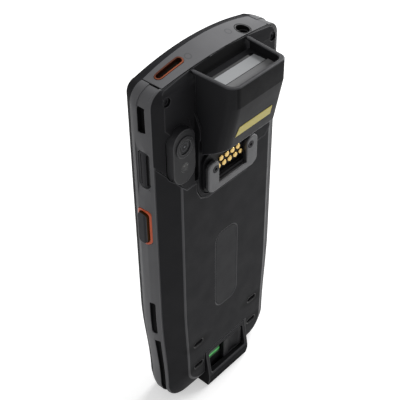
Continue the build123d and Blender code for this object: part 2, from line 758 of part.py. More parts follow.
def make_front_bezel():
    """Black front frame with a seat for the cover glass and an opening for the screen."""
    back = outline(BEZEL_Y, EDGE_INSET, ARCH_FRONT + ARCH_STEP)
    side = HALF_W - FRONT_INSET
    foot = FOOT_HALF_W - FRONT_INSET
    top = TOP_Z - BEZEL_DROP
    front = section(FRONT_Y, side, foot, BEZEL_LIFT, LOW_R, top, TOP_R - FRONT_INSET, BEZEL_ARCH)
    frame = stack(back, front)
    frame -= glass_blank(FRONT_Y - 1, GLASS_INSET - FIT, GLASS_T + GLASS_DROP + 1)
    frame -= screen_opening(0.0, FRONT_Y - 1, BEZEL_Y + 1)
    frame -= rod_y(FRONT_CAM_X, EAR_Z, FRONT_CAM_R + FIT, FRONT_Y, BEZEL_Y + 1)
    half = EAR_HALF_W + FIT
    high = EAR_H / 2 + FIT
    return frame - block(-half, half, FRONT_Y, BEZEL_Y + 1, EAR_Z - high, EAR_Z + high)


def glass_blank(y, inset, depth):
    rim = outline(y, FRONT_INSET + inset, BEZEL_ARCH - BEZEL_DROP, BEZEL_DROP + inset)
    return extrude(rim, amount=depth, dir=(0, 1, 0))


def screen_opening(shrink, y0, y1):
    half = HALF_W - FRONT_INSET - VIEW_INSET - shrink
    low = GLASS_INSET + CHIN + shrink
    top = TOP_Z - GLASS_INSET - CHIN - shrink
    return soft_block(-half, half, y0, y1, low, top, Axis.Y, VIEW_R)


def make_cover_glass():
    glass = glass_blank(FRONT_Y + GLASS_DROP, GLASS_INSET, GLASS_T)
    slot = EAR_HALF_W - EAR_SLOT_IN
    low = EAR_Z - EAR_SLOT_HALF_H
    high = EAR_Z + EAR_SLOT_HALF_H
    return glass - soft_block(-slot, slot, FRONT_Y - 1, BEZEL_Y, low, high, Axis.Y, EAR_SLOT_HALF_H)


def glass_back():
    return FRONT_Y + GLASS_DROP + GLASS_T


def make_display():
    return screen_opening(DISPLAY_FIT, glass_back(), glass_back() + DISPLAY_T)


def make_display_frame():
    return screen_opening(DISPLAY_FIT, glass_back() + DISPLAY_T, MID_Y0)


def make_front_seal():
    ring = extrude(outline(BEZEL_Y, BUMPER_T + 0.1), amount=MID_Y0 - BEZEL_Y, dir=(0, 1, 0))
    ring -= screen_opening(-1.0, BEZEL_Y - 1, MID_Y0 + 1)
    ring = ring & block(-FAR, FAR, -FAR, FAR, END_CAP_H + FIT, TOP_Z - CAP_DEPTH - FIT)
    ring -= rod_y(FRONT_CAM_X, EAR_Z, FRONT_CAM_R + FIT, -FAR, FAR)
    return ring - key_rooms()


def make_midframe():
    plate = extrude(outline(MID_Y0, BUMPER_T + 0.1), amount=MID_Y1 - MID_Y0, dir=(0, 1, 0))
    plate = plate & block(-FAR, FAR, -FAR, FAR, END_CAP_H + FIT, TOP_Z - CAP_DEPTH - FIT)
    for x, z in inner_screw_places():
        plate += rod_y(x, z, SCREW_SHANK_R + BOSS_T, MID_Y0, BAND_Y - BOSS_TOP_IN)
        plate -= rod_y(x, z, SCREW_SHANK_R + FIT, MID_Y1 + SCREW_HEAD_T, BAND_Y)
    return plate - key_rooms()


def key_rooms():
    """Space that the side keys need inside the bumpers, with their travel."""
    inner = SCAN_BACK_X - SCAN_TRAVEL - SWITCH_GAP - SWITCH_T - FLEX_T - RUN
    rooms = []
    half = SCAN_LEN / 2 + KEY_FLANGE + 2 * RUN
    for s in (1, -1):
        x0, x1 = sorted((s * inner, s * FAR))
        rooms.append(block(x0, x1, -FAR, FAR, SCAN_Z - half, SCAN_Z + half))
    half = VOL_LEN / 2 + 2 * RUN
    rooms.append(block(inner, FAR, -FAR, FAR, VOL_Z - half, VOL_Z + half))
    return Compound(rooms)


def inner_screw_places():
    return [(s * INNER_SCREW_X, INNER_SCREW_Z) for s in (1, -1)]


def make_top_cap():
    cap = cap_blank()
    inner = CAP_HALF_W - CAP_WALL
    under = TOP_Z - CAP_DEPTH - 1
    over = TOP_Z + 9
    cap -= block(-inner, inner, BEZEL_Y + WALL, CAP_BACK_Y - WALL, under, TOP_Z - CAP_SKIN)
    upper = block(-FAR, FAR, -FAR, FAR, TOP_Z - SHADOW_DEPTH, over)
    side = CAP_HALF_W - SHADOW_GAP
    cap -= upper - block(-side, side, -FAR, CAP_BACK_Y - SHADOW_GAP, under, over + 1)
    cap -= power_pill(RUN + POWER_WALL, TOP_Z - RING_T, over)
    cap -= power_pill(RUN + POWER_FLANGE, under, TOP_Z)
    cap -= rod_z(JACK_X, JACK_Y, JACK_COLLAR_R + 2 * FIT, under, over)
    for s in (1, -1):
        cap -= rod_y(s * SCREW_X, SCREW_Z, SCREW_SHANK_R + FIT, 0, FAR)
    return cap


def power_pill(grow, z0, z1):
    return pill_z(POWER_X, POWER_Y, POWER_LEN + 2 * grow, POWER_W + 2 * grow, z0, z1)


def make_power_ring():
    ring = power_pill(RUN + POWER_WALL - FIT, TOP_Z - RING_T, TOP_Z + 9) & cap_blank(POWER_PROUD)
    return ring - power_pill(RUN, TOP_Z - 4, TOP_Z + 9)


def make_power_key():
    stem = power_pill(0.0, TOP_Z - KEY_LEN, TOP_Z + 9) & cap_blank(-POWER_SUNK)
    flange = power_pill(POWER_FLANGE, TOP_Z - KEY_LEN, TOP_Z - RING_T - RUN)
    return stem + flange


def make_headphone_jack():
    low = TOP_Z - JACK_DEPTH - JACK_BOTTOM_T
    back = JACK_Y + JACK_COLLAR_R - JACK_BACK_FLAT
    left = JACK_X - JACK_BODY_HALF_W
    body = block(left, left + 2 * JACK_BODY_HALF_W, MID_Y1 + FIT, back, low, TOP_Z - CAP_DEPTH)
    body += rod_z(JACK_X, JACK_Y, JACK_COLLAR_R, TOP_Z - CAP_DEPTH - 1, TOP_Z)
    return body - rod_z(JACK_X, JACK_Y, JACK_BORE_R, TOP_Z - JACK_DEPTH, TOP_Z + 1)


def make_rear_housing():
    """Upper back housing: deck, shoulders and the seats of camera and connector."""
    solid = back_body() & upper_region(0.0)
    solid -= above_bevel()
    floor = PLATEAU_Y - DISH_DEPTH
    high = HOOD_TOE_Z + DISH_R
    dish = soft_block(-DISH_HALF_W, DISH_HALF_W, floor, FAR, DISH_Z0, high, Axis.Y, DISH_R)
    solid -= dish & block(-FAR, FAR, -FAR, FAR, 0, HOOD_TOE_Z)
    hollow = plateau(WALL + 0.6) & block(-FAR, FAR, BAND_Y, FAR, SEAM_MID_Z + 6, SHOULDER_END_Z)
    solid -= hollow & block(DISH_HALF_W, HALF_W - 4, -FAR, FAR, SEAM_SIDE_Z, PLATEAU_END_Z - 3)
    solid -= camera_pill(FIT, BAND_Y - 1, FAR)
    far_side = CAM_X - CAM_HALF_W - 0.6
    solid -= block(HOOD_HALF_W + 0.4, far_side, DECK_Y, FAR, SEAM_MID_Z + 1.0, SHOULDER_END_Z + 1)
    for s in (1, -1):
        solid -= rod_y(s * SCREW_X, SCREW_Z, SCREW_HEAD_R + FIT, DECK_Y - SCREW_SEAT, FAR)
        solid -= rod_y(s * SCREW_X, SCREW_Z, SCREW_SHANK_R + FIT, -FAR, FAR)
        solid -= rod_y(s * BRACKET_SCREW_X, BRACKET_SCREW_Z, SMALL_SHANK_R + FIT, BAND_Y, FAR)
    return solid


def make_battery_cover():
    """Raised back panel with sloping flanks, a bare plaque and four small dents."""
    solid = back_body() - upper_region(-SEAM_GAP)
    half = BATT_HALF_W + 1
    solid -= plateau(WALL) & block(-half, half, -FAR, FAR, BATT_Z0 - RUN, BATT_Z1 + RUN)
    solid -= block(-BLOCK_HALF_W - SEAM_GAP, BLOCK_HALF_W + SEAM_GAP, -FAR, FAR, -1, BLOCK_TOP_Z + SEAM_GAP)
    solid -= camera_pill(FIT, -FAR, FAR)
    solid -= soft_block(
        -PLAQUE_HALF_W, PLAQUE_HALF_W, PLATEAU_Y - PLAQUE_DEPTH, FAR, PLAQUE_Z0, PLAQUE_Z1, Axis.Y, PLAQUE_R
    )
    for s in (1, -1):
        for z in DIMPLE_Z:
            x = s * DIMPLE_X
            solid -= soft_block(
                x - DIMPLE_LEN / 2, x + DIMPLE_LEN / 2, PLATEAU_Y - DIMPLE_DEPTH, FAR,
                z - DIMPLE_H / 2, z + DIMPLE_H / 2, Axis.Y, DIMPLE_H / 2
            )
    return solid


def make_cover_plaque():
    half = PLAQUE_HALF_W - FIT
    floor = PLATEAU_Y - PLAQUE_DEPTH
    low = PLAQUE_Z0 + FIT
    high = PLAQUE_Z1 - FIT
    return soft_block(-half, half, floor, floor + PLAQUE_T, low, high, Axis.Y, PLAQUE_R)


# ---- scanner hood ----
def hood_plan(inset, y0, z0, z1):
    """Upright prism on the hood's plan; the side away from the camera flares towards the cap."""
    back = HOOD_BACK_Y - inset
    near = HOOD_HALF_W - inset
    slope = HOOD_FLARE / (HOOD_BACK_Y - CAP_BACK_Y)
    far = HOOD_FAR_W - inset
    root = far + slope * (HOOD_BACK_Y - y0)
    far += slope * inset
    corners = [(near, y0, z0), (near, back, z0), (-far, back, z0), (-root, y0, z0)]
    return extrude(Face(Wire.make_polygon(corners, close=True)), amount=z1 - z0, dir=(0, 0, 1))


def make_hood():
    """Hood with an open window seat at its top and a slanted back above the connector."""
    solid = slab_yz(hood_profile(), -2 * HOOD_FAR_W, 2 * HOOD_FAR_W)
    solid = solid & hood_plan(0.0, 0, 0, FAR * 3)
    for side, radius in ((1, HOOD_CORNER_R), (-1, HOOD_FAR_R)):
        corners = [edge for edge in solid.edges() if is_hood_corner(edge, side)]
        solid = fillet(corners, radius)
    solid -= back_body()
    solid -= block(-FAR, FAR, -FAR, CAP_BACK_Y + SEAM_GAP, 0, FAR * 3)
    solid -= block(-FAR, FAR, -FAR, DECK_Y, 0, TOP_Z + ARCH_BACK - BEVEL_DROP)
    bevel = above_bevel()
    bevel_top = TOP_Z + ARCH_BACK
    low_part = solid & block(-FAR, FAR, -FAR, DECK_Y + 0.01, bevel_top - BEVEL_DROP, bevel_top)
    solid -= low_part - bevel
    solid -= block(-FAR, FAR, -FAR, CAP_BACK_Y + 0.4, TOP_Z - 9, TOP_Z + ARCH_BACK + FIT)
    seat_z = WINDOW_Z - WINDOW_FRAME_T
    solid -= seat_prism(HOOD_WALL, 0, seat_z, FAR * 3, HOOD_SEAT_R)
    half = HOOD_HALF_W - HOOD_WALL - HOOD_LEDGE
    room = slab_yz(
        [
            (engine_y0(), HOOD_TOE_Z + 5),
            (engine_y0(), seat_z + 1),
            (HOOD_BACK_Y - HOOD_WALL - HOOD_LEDGE, seat_z + 1),
            (HOOD_BACK_Y - HOOD_WALL - HOOD_LEDGE, HOOD_KNEE_Z),
            (HOOD_TOE_Y - HOOD_WALL - HOOD_LEDGE + 1, HOOD_TOE_Z + 5),
        ],
        -half,
        half,
    )
    return solid - room


def seat_prism(inset, y0, z0, z1, radius):
    prism = hood_plan(inset, y0, z0, z1)
    edges = prism.edges().filter_by(Axis.Z).sort_by(Axis.Y)[-2:]
    return fillet(edges, radius)


def is_hood_corner(edge, side):
    middle = edge.center()
    beside = side * middle.X > min(HOOD_HALF_W, HOOD_FAR_W) - 0.1
    return beside and middle.Y > HOOD_TOE_Y + 1 and HOOD_TOE_Z < middle.Z < HOOD_TOP_Z - 1


def engine_y0():
    return DECK_Y + ENGINE_LIFT


def engine_top():
    return WINDOW_Z - WINDOW_FRAME_T - ENGINE_GAP


def engine_lens(radius, top):
    """The three round windows of the engine, as cylinders up to a given height."""
    middle = (WINDOW_Y0 + WINDOW_Y1) / 2
    return [rod_z(n * LENS_PITCH, middle, radius, engine_top() - LENS_SEAT, top) for n in (-1, 0, 1)]


def make_window_frame():
    frame = seat_prism(HOOD_WALL + FIT, DECK_Y, WINDOW_Z - WINDOW_FRAME_T, WINDOW_Z, HOOD_SEAT_R - FIT)
    side = WINDOW_HALF_W + FIT
    frame -= block(-side, side, WINDOW_Y0 - FIT, WINDOW_Y1 + FIT, WINDOW_Z - WINDOW_T, FAR * 3)
    side = WINDOW_HALF_W - WINDOW_LEDGE
    frame -= block(-side, side, WINDOW_Y0 + WINDOW_LEDGE, WINDOW_Y1 - WINDOW_LEDGE, 0, FAR * 3)
    return frame


def make_scan_window():
    return block(-WINDOW_HALF_W, WINDOW_HALF_W, WINDOW_Y0, WINDOW_Y1, WINDOW_Z - WINDOW_T, WINDOW_Z)


def make_scan_engine():
    y0 = engine_y0()
    top = engine_top()
    body = block(-ENGINE_HALF_W, ENGINE_HALF_W, y0, y0 + ENGINE_DEPTH, top - ENGINE_H, top)
    for hole in engine_lens(LENS_R + FIT, top + 1):
        body -= hole
    return body


def make_engine_lenses():
    return Compound(engine_lens(LENS_R, engine_top() + LENS_PROUD))


def make_label():
    """Blank strip stuck on the slanted back of the hood."""
    lean = degrees(atan2(HOOD_BACK_Y - HOOD_TOE_Y, HOOD_KNEE_Z - HOOD_TOE_Z))
    nudge = LABEL_T / cos(radians(lean))
    top_x = LABEL_X1 - LABEL_SLANT
    corners = [(LABEL_X0, LABEL_Z0), (LABEL_X1, LABEL_Z0), (top_x, LABEL_Z1), (LABEL_X0, LABEL_Z1)]
    prism = slab_xz(corners, 0, FAR)
    sheet = slab_yz(
        [
            (ramp_y(HOOD_TOE_Z), HOOD_TOE_Z),
            (ramp_y(HOOD_KNEE_Z), HOOD_KNEE_Z),
            (ramp_y(HOOD_KNEE_Z) + nudge, HOOD_KNEE_Z),
            (ramp_y(HOOD_TOE_Z) + nudge, HOOD_TOE_Z),
        ],
        -FAR,
        FAR,
    )
    return prism & sheet


# ---- camera ----
def camera_pill(grow, y0, y1):
    return soft_block(
        CAM_X - CAM_HALF_W - grow, CAM_X + CAM_HALF_W + grow, y0, y1, CAM_Z0 - grow, CAM_Z1 + grow,
        Axis.Y, CAM_HALF_W + grow
    )


def make_camera_bezel():
    top = PLATEAU_Y + CAM_PROUD
    seat = DECK_Y + CAM_FLOOR
    solid = camera_pill(0.0, DECK_Y, top)
    solid += rod_y(CAM_X, CAM_LENS_Z, CAM_RING_R, DECK_Y, top + CAM_RING_PROUD)
    solid -= rod_y(CAM_X, CAM_LENS_Z, CAM_LENS_R + FIT, seat, FAR)
    solid -= rod_y(CAM_X, CAM_LENS_Z, CAM_LIGHT_R, 0, FAR)
    solid -= rod_y(CAM_X, CAM_FLASH_Z, FLASH_R + FIT, seat, FAR)
    solid -= rod_y(CAM_X, CAM_FLASH_Z, FLASH_LIGHT_R, 0, FAR)
    return solid


def make_camera_lens():
    return rod_y(CAM_X, CAM_LENS_Z, CAM_LENS_R, DECK_Y + CAM_FLOOR, PLATEAU_Y + CAM_PROUD)


def make_camera_module():
    half = CAM_BODY_HALF
    y0 = DECK_Y - CAM_BODY_T
    return block(CAM_X - half, CAM_X + half, y0, DECK_Y, CAM_LENS_Z - half, CAM_LENS_Z + half)


def make_flash_lens():
    return rod_y(CAM_X, CAM_FLASH_Z, FLASH_R, DECK_Y + CAM_FLOOR, PLATEAU_Y + CAM_PROUD - FLASH_SUNK)


def make_flash_led():
    half = LED_HALF
    return block(CAM_X - half, CAM_X + half, DECK_Y - LED_T, DECK_Y, CAM_FLASH_Z - half, CAM_FLASH_Z + half)


# ---- rear connector ----
def bracket_shape(y0, y1, grow=0.0):
    half = BRACKET_HALF_W + grow
    bar = soft_block(
        -half + BRACKET_END_IN, half - BRACKET_END_IN, y0, y1, BRACKET_Z0 - grow, BRACKET_BAR_Z1,
        Axis.Y, BRACKET_BAR_R
    )
    for s in (1, -1):
        x0, x1 = sorted((s * (half - BRACKET_ARM_W), s * half))
        low = BRACKET_Z0 + BRACKET_ARM_UP - grow
        bar += soft_block(x0, x1, y0, y1, low, BRACKET_Z1 + grow, Axis.Y, BRACKET_ARM_R)
    return bar


def make_connector():
    slab = soft_block(
        -CONN_HALF_W, CONN_HALF_W, PLATEAU_Y - DISH_DEPTH, PAD_FLOOR_Y, CONN_Z0, CONN_Z1, Axis.Y, CONN_R
    )
    slab += bracket_shape(PLATEAU_Y - DISH_DEPTH, RISER_Y, -RUN)
    half = PAD_PITCH * (PAD_ROWS[0] - 1) / 2 + PAD_R
    pocket_top = PAD_Z_LOW - PAD_R - 2 * POCKET_EDGE
    floor = PLATEAU_Y - DISH_DEPTH + POCKET_EDGE
    slab -= block(-half, half, floor, FAR, BRACKET_BAR_Z1 + POCKET_EDGE, pocket_top)
    for s in (1, -1):
        slab -= rod_y(s * BRACKET_SCREW_X, BRACKET_SCREW_Z, SMALL_SHANK_R + FIT, 0, FAR)
    for x, z in pad_places():
        slab -= rod_y(x, z, PAD_STEM_R, PAD_FLOOR_Y - PAD_STEM_L, FAR)
    return slab


def pad_places():
    places = []
    for row, count in enumerate(PAD_ROWS):
        first = -PAD_PITCH * (count - 1) / 2
        places += [(first + i * PAD_PITCH, PAD_Z_LOW + row * PAD_ROW) for i in range(count)]
    return places


def make_pads():
    """Nine sprung contacts in two rows: a short barrel with a rounded crown."""
    pads = []
    for x, z in pad_places():
        crown = rod_y(x, z, PAD_R, PAD_FLOOR_Y, PAD_FLOOR_Y + PAD_RISE)
        crown = fillet(crown.edges().sort_by(Axis.Y)[-1], PAD_RISE * 0.7)
        pads.append(crown + rod_y(x, z, PAD_STEM_R - FIT, PAD_FLOOR_Y - PAD_STEM_L, PAD_FLOOR_Y))
    return Compound(pads)


def make_bracket():
    solid = bracket_shape(RISER_Y, RISER_Y + BRACKET_T)
    outer = solid.faces().sort_by(Axis.Y)[-1].edges()
    solid = chamfer(outer, BRACKET_EDGE)
    seat = RISER_Y + BRACKET_T - HEAD_T
    for s in (1, -1):
        solid -= rod_y(s * BRACKET_SCREW_X, BRACKET_SCREW_Z, SMALL_SHANK_R + FIT, 0, FAR)
        solid -= rod_y(s * BRACKET_SCREW_X, BRACKET_SCREW_Z, SMALL_HEAD_R + FIT, seat, FAR)
    return solid


def hex_socket(x, z, y, radius, depth):
    return Pos(x, y, z) * Rot(90, 0, 0) * extrude(RegularPolygon(radius, 6), depth, both=True)


def make_bracket_screws():
    screws = []
    top = RISER_Y + BRACKET_T
    for s in (1, -1):
        x = s * BRACKET_SCREW_X
        screw = rod_y(x, BRACKET_SCREW_Z, SMALL_HEAD_R, top - HEAD_T, top)
        screw += rod_y(x, BRACKET_SCREW_Z, SMALL_SHANK_R, DECK_Y, top - HEAD_T)
        screw -= hex_socket(x, BRACKET_SCREW_Z, top, SMALL_HEX_R, SMALL_HEX_T)
        screws.append(screw)
    return Compound(screws)


# ---- latch ----
def make_latch_block():
    """Block at the lower end of the cover, with a captive slot for the slider."""
    solid = slab_yz(
        [
            (BAND_Y + FIT, 0),
            (BLOCK_Y - BLOCK_SLANT, 0),
            (BLOCK_Y, BLOCK_SLANT_H),
            (BLOCK_Y, BLOCK_LIP_Z),
            (PLATEAU_Y + BLOCK_TOP_RISE, BLOCK_TOP_Z),
            (BAND_Y + FIT, BLOCK_TOP_Z),
        ],
        -BLOCK_HALF_W,
        BLOCK_HALF_W,
    )
    solid -= soft_block(-LATCH_HALF_W, LATCH_HALF_W, LATCH_LIP_Y, FAR, LATCH_Z0, LATCH_Z1, Axis.Y, LATCH_R)
    solid -= block(
        -LATCH_HALF_W, LATCH_HALF_W, LATCH_FLOOR_Y, LATCH_LIP_Y, LATCH_Z0 - LATCH_LIP, LATCH_Z1 + LATCH_LIP
    )
    z = (LATCH_Z0 + LATCH_Z1) / 2
    solid -= block(
        TONGUE_X - TONGUE_W - RUN, TONGUE_X + SLIDER_TRAVEL + RUN, 0, LATCH_FLOOR_Y + 1,
        z - TONGUE_H / 2 - RUN, z + TONGUE_H / 2 + RUN
    )
    return solid


def make_latch_slider():
    z = (LATCH_Z0 + LATCH_Z1) / 2
    x1 = SLIDER_X0 + SLIDER_LEN
    foot_y = LATCH_FLOOR_Y + FOOT_LIFT
    low = LATCH_Z0 + RUN
    high = LATCH_Z1 - RUN
    solid = soft_block(SLIDER_X0 + SLIDER_STEP, x1, foot_y, SLIDER_FACE_Y, low, high, Axis.Y, SLIDER_R)
    grow = LATCH_LIP - RUN
    solid += block(SLIDER_X0, x1, foot_y, foot_y + FOOT_T, LATCH_Z0 - grow, LATCH_Z1 + grow)
    middle = SLIDER_X0 + SLIDER_LEN / 2
    reach = SLIDER_FACE_Y + GRIP_R - GRIP_DEPTH
    solid -= rod_z(middle, reach, GRIP_R, LATCH_Z0 + GRIP_END, LATCH_Z1 - GRIP_END)
    low = z - TONGUE_H / 2
    high = z + TONGUE_H / 2
    stem_x = TONGUE_X - TONGUE_W
    stem = block(stem_x, TONGUE_X, HOOK_Y - HOOK_T, foot_y, low, high)
    hook = block(stem_x - TONGUE_REACH, TONGUE_X, HOOK_Y - HOOK_T, HOOK_Y, low, high)
    return solid + stem + hook


def make_latch_keeper():
    """Post on the midframe whose ledge holds the slider's hook."""
    z = (LATCH_Z0 + LATCH_Z1) / 2
    top = HOOK_Y + RUN + KEEPER_LEDGE_T
    low = z - KEEPER_HALF_H
    high = z + KEEPER_HALF_H
    post = block(KEEPER_X0, KEEPER_X0 + KEEPER_POST, MID_Y1, top, low, high)
    ledge_x = TONGUE_X - TONGUE_W - RUN - HOOK_HOLD
    return post + block(KEEPER_X0, ledge_x, HOOK_Y + RUN, top, low, high)


def make_latch_mark():
    x0 = SLIDER_X0 + SLIDER_LEN + MARK_GAP
    z = LATCH_Z1 - MARK_DOWN
    return block(x0, x0 + MARK_LEN, LATCH_FLOOR_Y, LATCH_FLOOR_Y + MARK_T, z - MARK_H / 2, z + MARK_H / 2)


# ---- inside ----
def make_board():
    board = block(-BOARD_HALF_W, BOARD_HALF_W, MID_Y1 + FIT, MID_Y1 + FIT + BOARD_T, BOARD_Z0, BOARD_Z1)
    for x, z in inner_screw_places():
        board -= rod_y(x, z, SCREW_SHANK_R + BOARD_HOLE_EDGE, -FAR, FAR)
    return board


def board_back():
    return MID_Y1 + FIT + BOARD_T


def make_cans():
    y = board_back()
    cans = []
    for x, half, up, height in (
        (-CAN_X, CAN_HIGH_W / 2, CAN_HIGH_UP, CAN_HIGH_H),
        (CAN_MID_X, CAN_HIGH_W / 2, CAN_HIGH_UP, CAN_HIGH_H),
        (-CAN_LOW_X, CAN_LOW_W / 2, CAN_LOW_UP, CAN_LOW_H),
    ):
        z0 = BOARD_Z0 + up
        cans.append(block(x - half, x + half, y, y + CAN_T, z0, z0 + height))
    return Compound(cans)


def make_battery_case():
    case = soft_block(-BATT_HALF_W, BATT_HALF_W, MID_Y1 + FIT, BATT_Y1, BATT_Z0, BATT_Z1, Axis.Z, BATT_R)
    w = BATT_WALL
    return case - block(
        -BATT_HALF_W + w, BATT_HALF_W - w, MID_Y1 + FIT + w, BATT_Y1 - w, BATT_Z0 + w, BATT_Z1 - w
    )


def make_battery_cell():
    w = BATT_WALL
    return block(-BATT_HALF_W + w, BATT_HALF_W - w, MID_Y1 + FIT + w, BATT_Y1 - w, BATT_Z0 + w, BATT_Z1 - w)


def make_battery_contacts():
    y = MID_Y1 + FIT
    low = BATT_Z1 + FIT
    half = BLADE_HALF_W
    places = [(n - 1.5) * BLADE_PITCH for n in range(4)]
    return Compound([block(x - half, x + half, y, y + BLADE_H, low, BOARD_Z0 - FIT) for x in places])


def scan_switch_x():
    return SCAN_BACK_X - SCAN_TRAVEL - SWITCH_GAP


def volume_switch_x():
    return VOL_BACK_X - RUN - SWITCH_GAP


def power_switch_z():
    return TOP_Z - KEY_LEN - POWER_TRAVEL - SWITCH_GAP


def make_switches():
    """Key switches: one under each scan key, two under the volume key, one under the power key."""
    switches = []
    half_w = SWITCH_HALF_W
    half_len = SWITCH_HALF_LEN
    for s in (1, -1):
        x0, x1 = sorted((s * (scan_switch_x() - SWITCH_T), s * scan_switch_x()))
        switches.append(block(x0, x1, SCAN_Y - half_w, SCAN_Y + half_w, SCAN_Z - half_len, SCAN_Z + half_len))
    half = VOL_SWITCH_HALF
    x1 = volume_switch_x()
    for z in (VOL_Z - VOL_SWITCH_Z, VOL_Z + VOL_SWITCH_Z):
        switches.append(block(x1 - SWITCH_T, x1, VOL_Y - half, VOL_Y + half, z - half, z + half))
    top = power_switch_z()
    y0 = POWER_Y - POWER_W / 2
    switches.append(block(POWER_X - half_len, POWER_X + half_len, y0, y0 + POWER_W, top - SWITCH_T, top))
    return Compound(switches)


def make_key_flex():
    """Stiffened flex strips that carry the key switches along the inside of the bumpers."""
    strips = []
    x1 = scan_switch_x() - SWITCH_T
    x0 = x1 - FLEX_T
    y0 = MID_Y1 + FIT
    middle = SCAN_Z + FLEX_HALF_LEN
    for s in (1, -1):
        a, b = sorted((s * x0, s * x1))
        strip = block(a, b, y0, SCAN_Y + FLEX_HALF_W, SCAN_Z - FLEX_HALF_LEN, middle)
        if s > 0:
            x2 = volume_switch_x() - SWITCH_T
            strip += block(x0, x2, y0, VOL_Y + FLEX_HALF_W, middle, VOL_Z + VOL_LEN / 2)
        strips.append(strip)
    low = power_switch_z() - SWITCH_T
    left = POWER_X - SHELF_HALF_W
    right = POWER_X + SHELF_HALF_W
    strips.append(block(left, right, BEZEL_Y + WALL, CAP_BACK_Y - WALL, low - FLEX_T, low))
    return Compound(strips)


def make_speaker():
    z0 = END_CAP_H + SPEAKER_LIFT
    y0 = MID_Y1 + FIT
    half = SPEAKER_HALF_W
    return soft_block(-half, half, y0, y0 + SPEAKER_T, z0, z0 + SPEAKER_H, Axis.Y, SPEAKER_R)


def make_motor():
    return rod_y(MOTOR_X, MOTOR_Z, MOTOR_R, MID_Y1 + FIT, MID_Y1 + FIT + MOTOR_T)


def make_earpiece():
    y = glass_back()
    return block(-EAR_HALF_W, EAR_HALF_W, y, BEZEL_Y, EAR_Z - EAR_H / 2, EAR_Z + EAR_H / 2)


def make_front_camera():
    return rod_y(FRONT_CAM_X, EAR_Z, FRONT_CAM_R, glass_back(), MID_Y0)


def make_screws():
    screws = []
    for s in (1, -1):
        x = s * SCREW_X
        head = DECK_Y - SCREW_SEAT
        screw = rod_y(x, SCREW_Z, SCREW_HEAD_R, head, head + SCREW_HEAD_T)
        screw += rod_y(x, SCREW_Z, SCREW_SHANK_R, head - SCREW_LEN, head)
        screw -= hex_socket(x, SCREW_Z, head + SCREW_HEAD_T, HEX_R, HEX_T)
        screws.append(screw)
    top = BAND_Y - BOSS_TOP_IN
    for x, z in inner_screw_places():
        screw = rod_y(x, z, SCREW_SHANK_R, MID_Y1 + SCREW_HEAD_T + FIT, top)
        screws.append(screw + rod_y(x, z, SCREW_SHANK_R + BOSS_T, top, top + BOSS_T))
    return Compound(screws)


def mirrored(solid):
    return mirror(solid, about=Plane.YZ)


def main():
    os.makedirs("parts", exist_ok=True)
    ring = make_scan_ring()
    key = make_scan_key()
    nodes = {
        "front_bezel": make_front_bezel(),
        "cover_glass": make_cover_glass(),
        "display_panel": make_display(),
        "display_frame": make_display_frame(),
        "front_seal": make_front_seal(),
        "midframe": make_midframe(),
        "bumper_right": make_bumper(1),
        "bumper_left": mirrored(make_bumper(-1)),
        "end_cap": make_end_cap(),
        "top_cap": make_top_cap(),
        "rear_housing": make_rear_housing(),
        "battery_cover": make_battery_cover(),
        "cover_plaque": make_cover_plaque(),
        "scanner_hood": make_hood(),
        "window_frame": make_window_frame(),
        "scan_window": make_scan_window(),
        "scan_engine": make_scan_engine(),
        "engine_lenses": make_engine_lenses(),
        "blank_strip": make_label(),
        "camera_bezel": make_camera_bezel(),
        "camera_lens": make_camera_lens(),
        "camera_module": make_camera_module(),
        "flash_lens": make_flash_lens(),
        "flash_led": make_flash_led(),
        "connector_housing": make_connector(),
        "contact_pads": make_pads(),
        "bracket": make_bracket(),
        "bracket_screws": make_bracket_screws(),
        "power_ring": make_power_ring(),
        "power_key": make_power_key(),
        "volume_key": make_volume_key(),
        "scan_ring_right": ring,
        "scan_ring_left": mirrored(ring),
        "scan_key_right": key,
        "scan_key_left": mirrored(key),
        "key_switches": make_switches(),
        "key_flex": make_key_flex(),
        "latch_block": make_latch_block(),
        "latch_slider": make_latch_slider(),
        "latch_keeper": make_latch_keeper(),
        "latch_mark": make_latch_mark(),
        "headphone_jack": make_headphone_jack(),
        "main_board": make_board(),
        "shield_cans": make_cans(),
        "battery_case": make_battery_case(),
        "battery_cell": make_battery_cell(),
        "battery_contacts": make_battery_contacts(),
        "speaker": make_speaker(),
        "vibration_motor": make_motor(),
        "earpiece": make_earpiece(),
        "front_camera": make_front_camera(),
        "housing_screws": make_screws(),
    }
    for name, shape in nodes.items():
        export_step(shape, f"parts/{name}.step")


main()
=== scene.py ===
import math

import bmesh
import bpy
from mathutils import Matrix, Vector


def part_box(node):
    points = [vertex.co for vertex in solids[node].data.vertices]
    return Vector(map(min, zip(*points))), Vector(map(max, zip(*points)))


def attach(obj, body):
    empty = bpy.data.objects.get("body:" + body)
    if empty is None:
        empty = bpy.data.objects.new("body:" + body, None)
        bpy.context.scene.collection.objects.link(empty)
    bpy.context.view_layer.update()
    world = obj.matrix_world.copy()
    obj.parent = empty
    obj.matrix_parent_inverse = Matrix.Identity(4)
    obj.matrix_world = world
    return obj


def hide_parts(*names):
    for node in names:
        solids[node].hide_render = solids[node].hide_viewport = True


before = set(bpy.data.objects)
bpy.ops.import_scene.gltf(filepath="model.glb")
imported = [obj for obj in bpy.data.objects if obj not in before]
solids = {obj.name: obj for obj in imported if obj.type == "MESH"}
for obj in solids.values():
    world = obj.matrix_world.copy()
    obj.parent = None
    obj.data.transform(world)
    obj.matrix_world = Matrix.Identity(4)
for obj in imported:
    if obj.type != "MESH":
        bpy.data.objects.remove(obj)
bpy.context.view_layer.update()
scene = bpy.context.scene


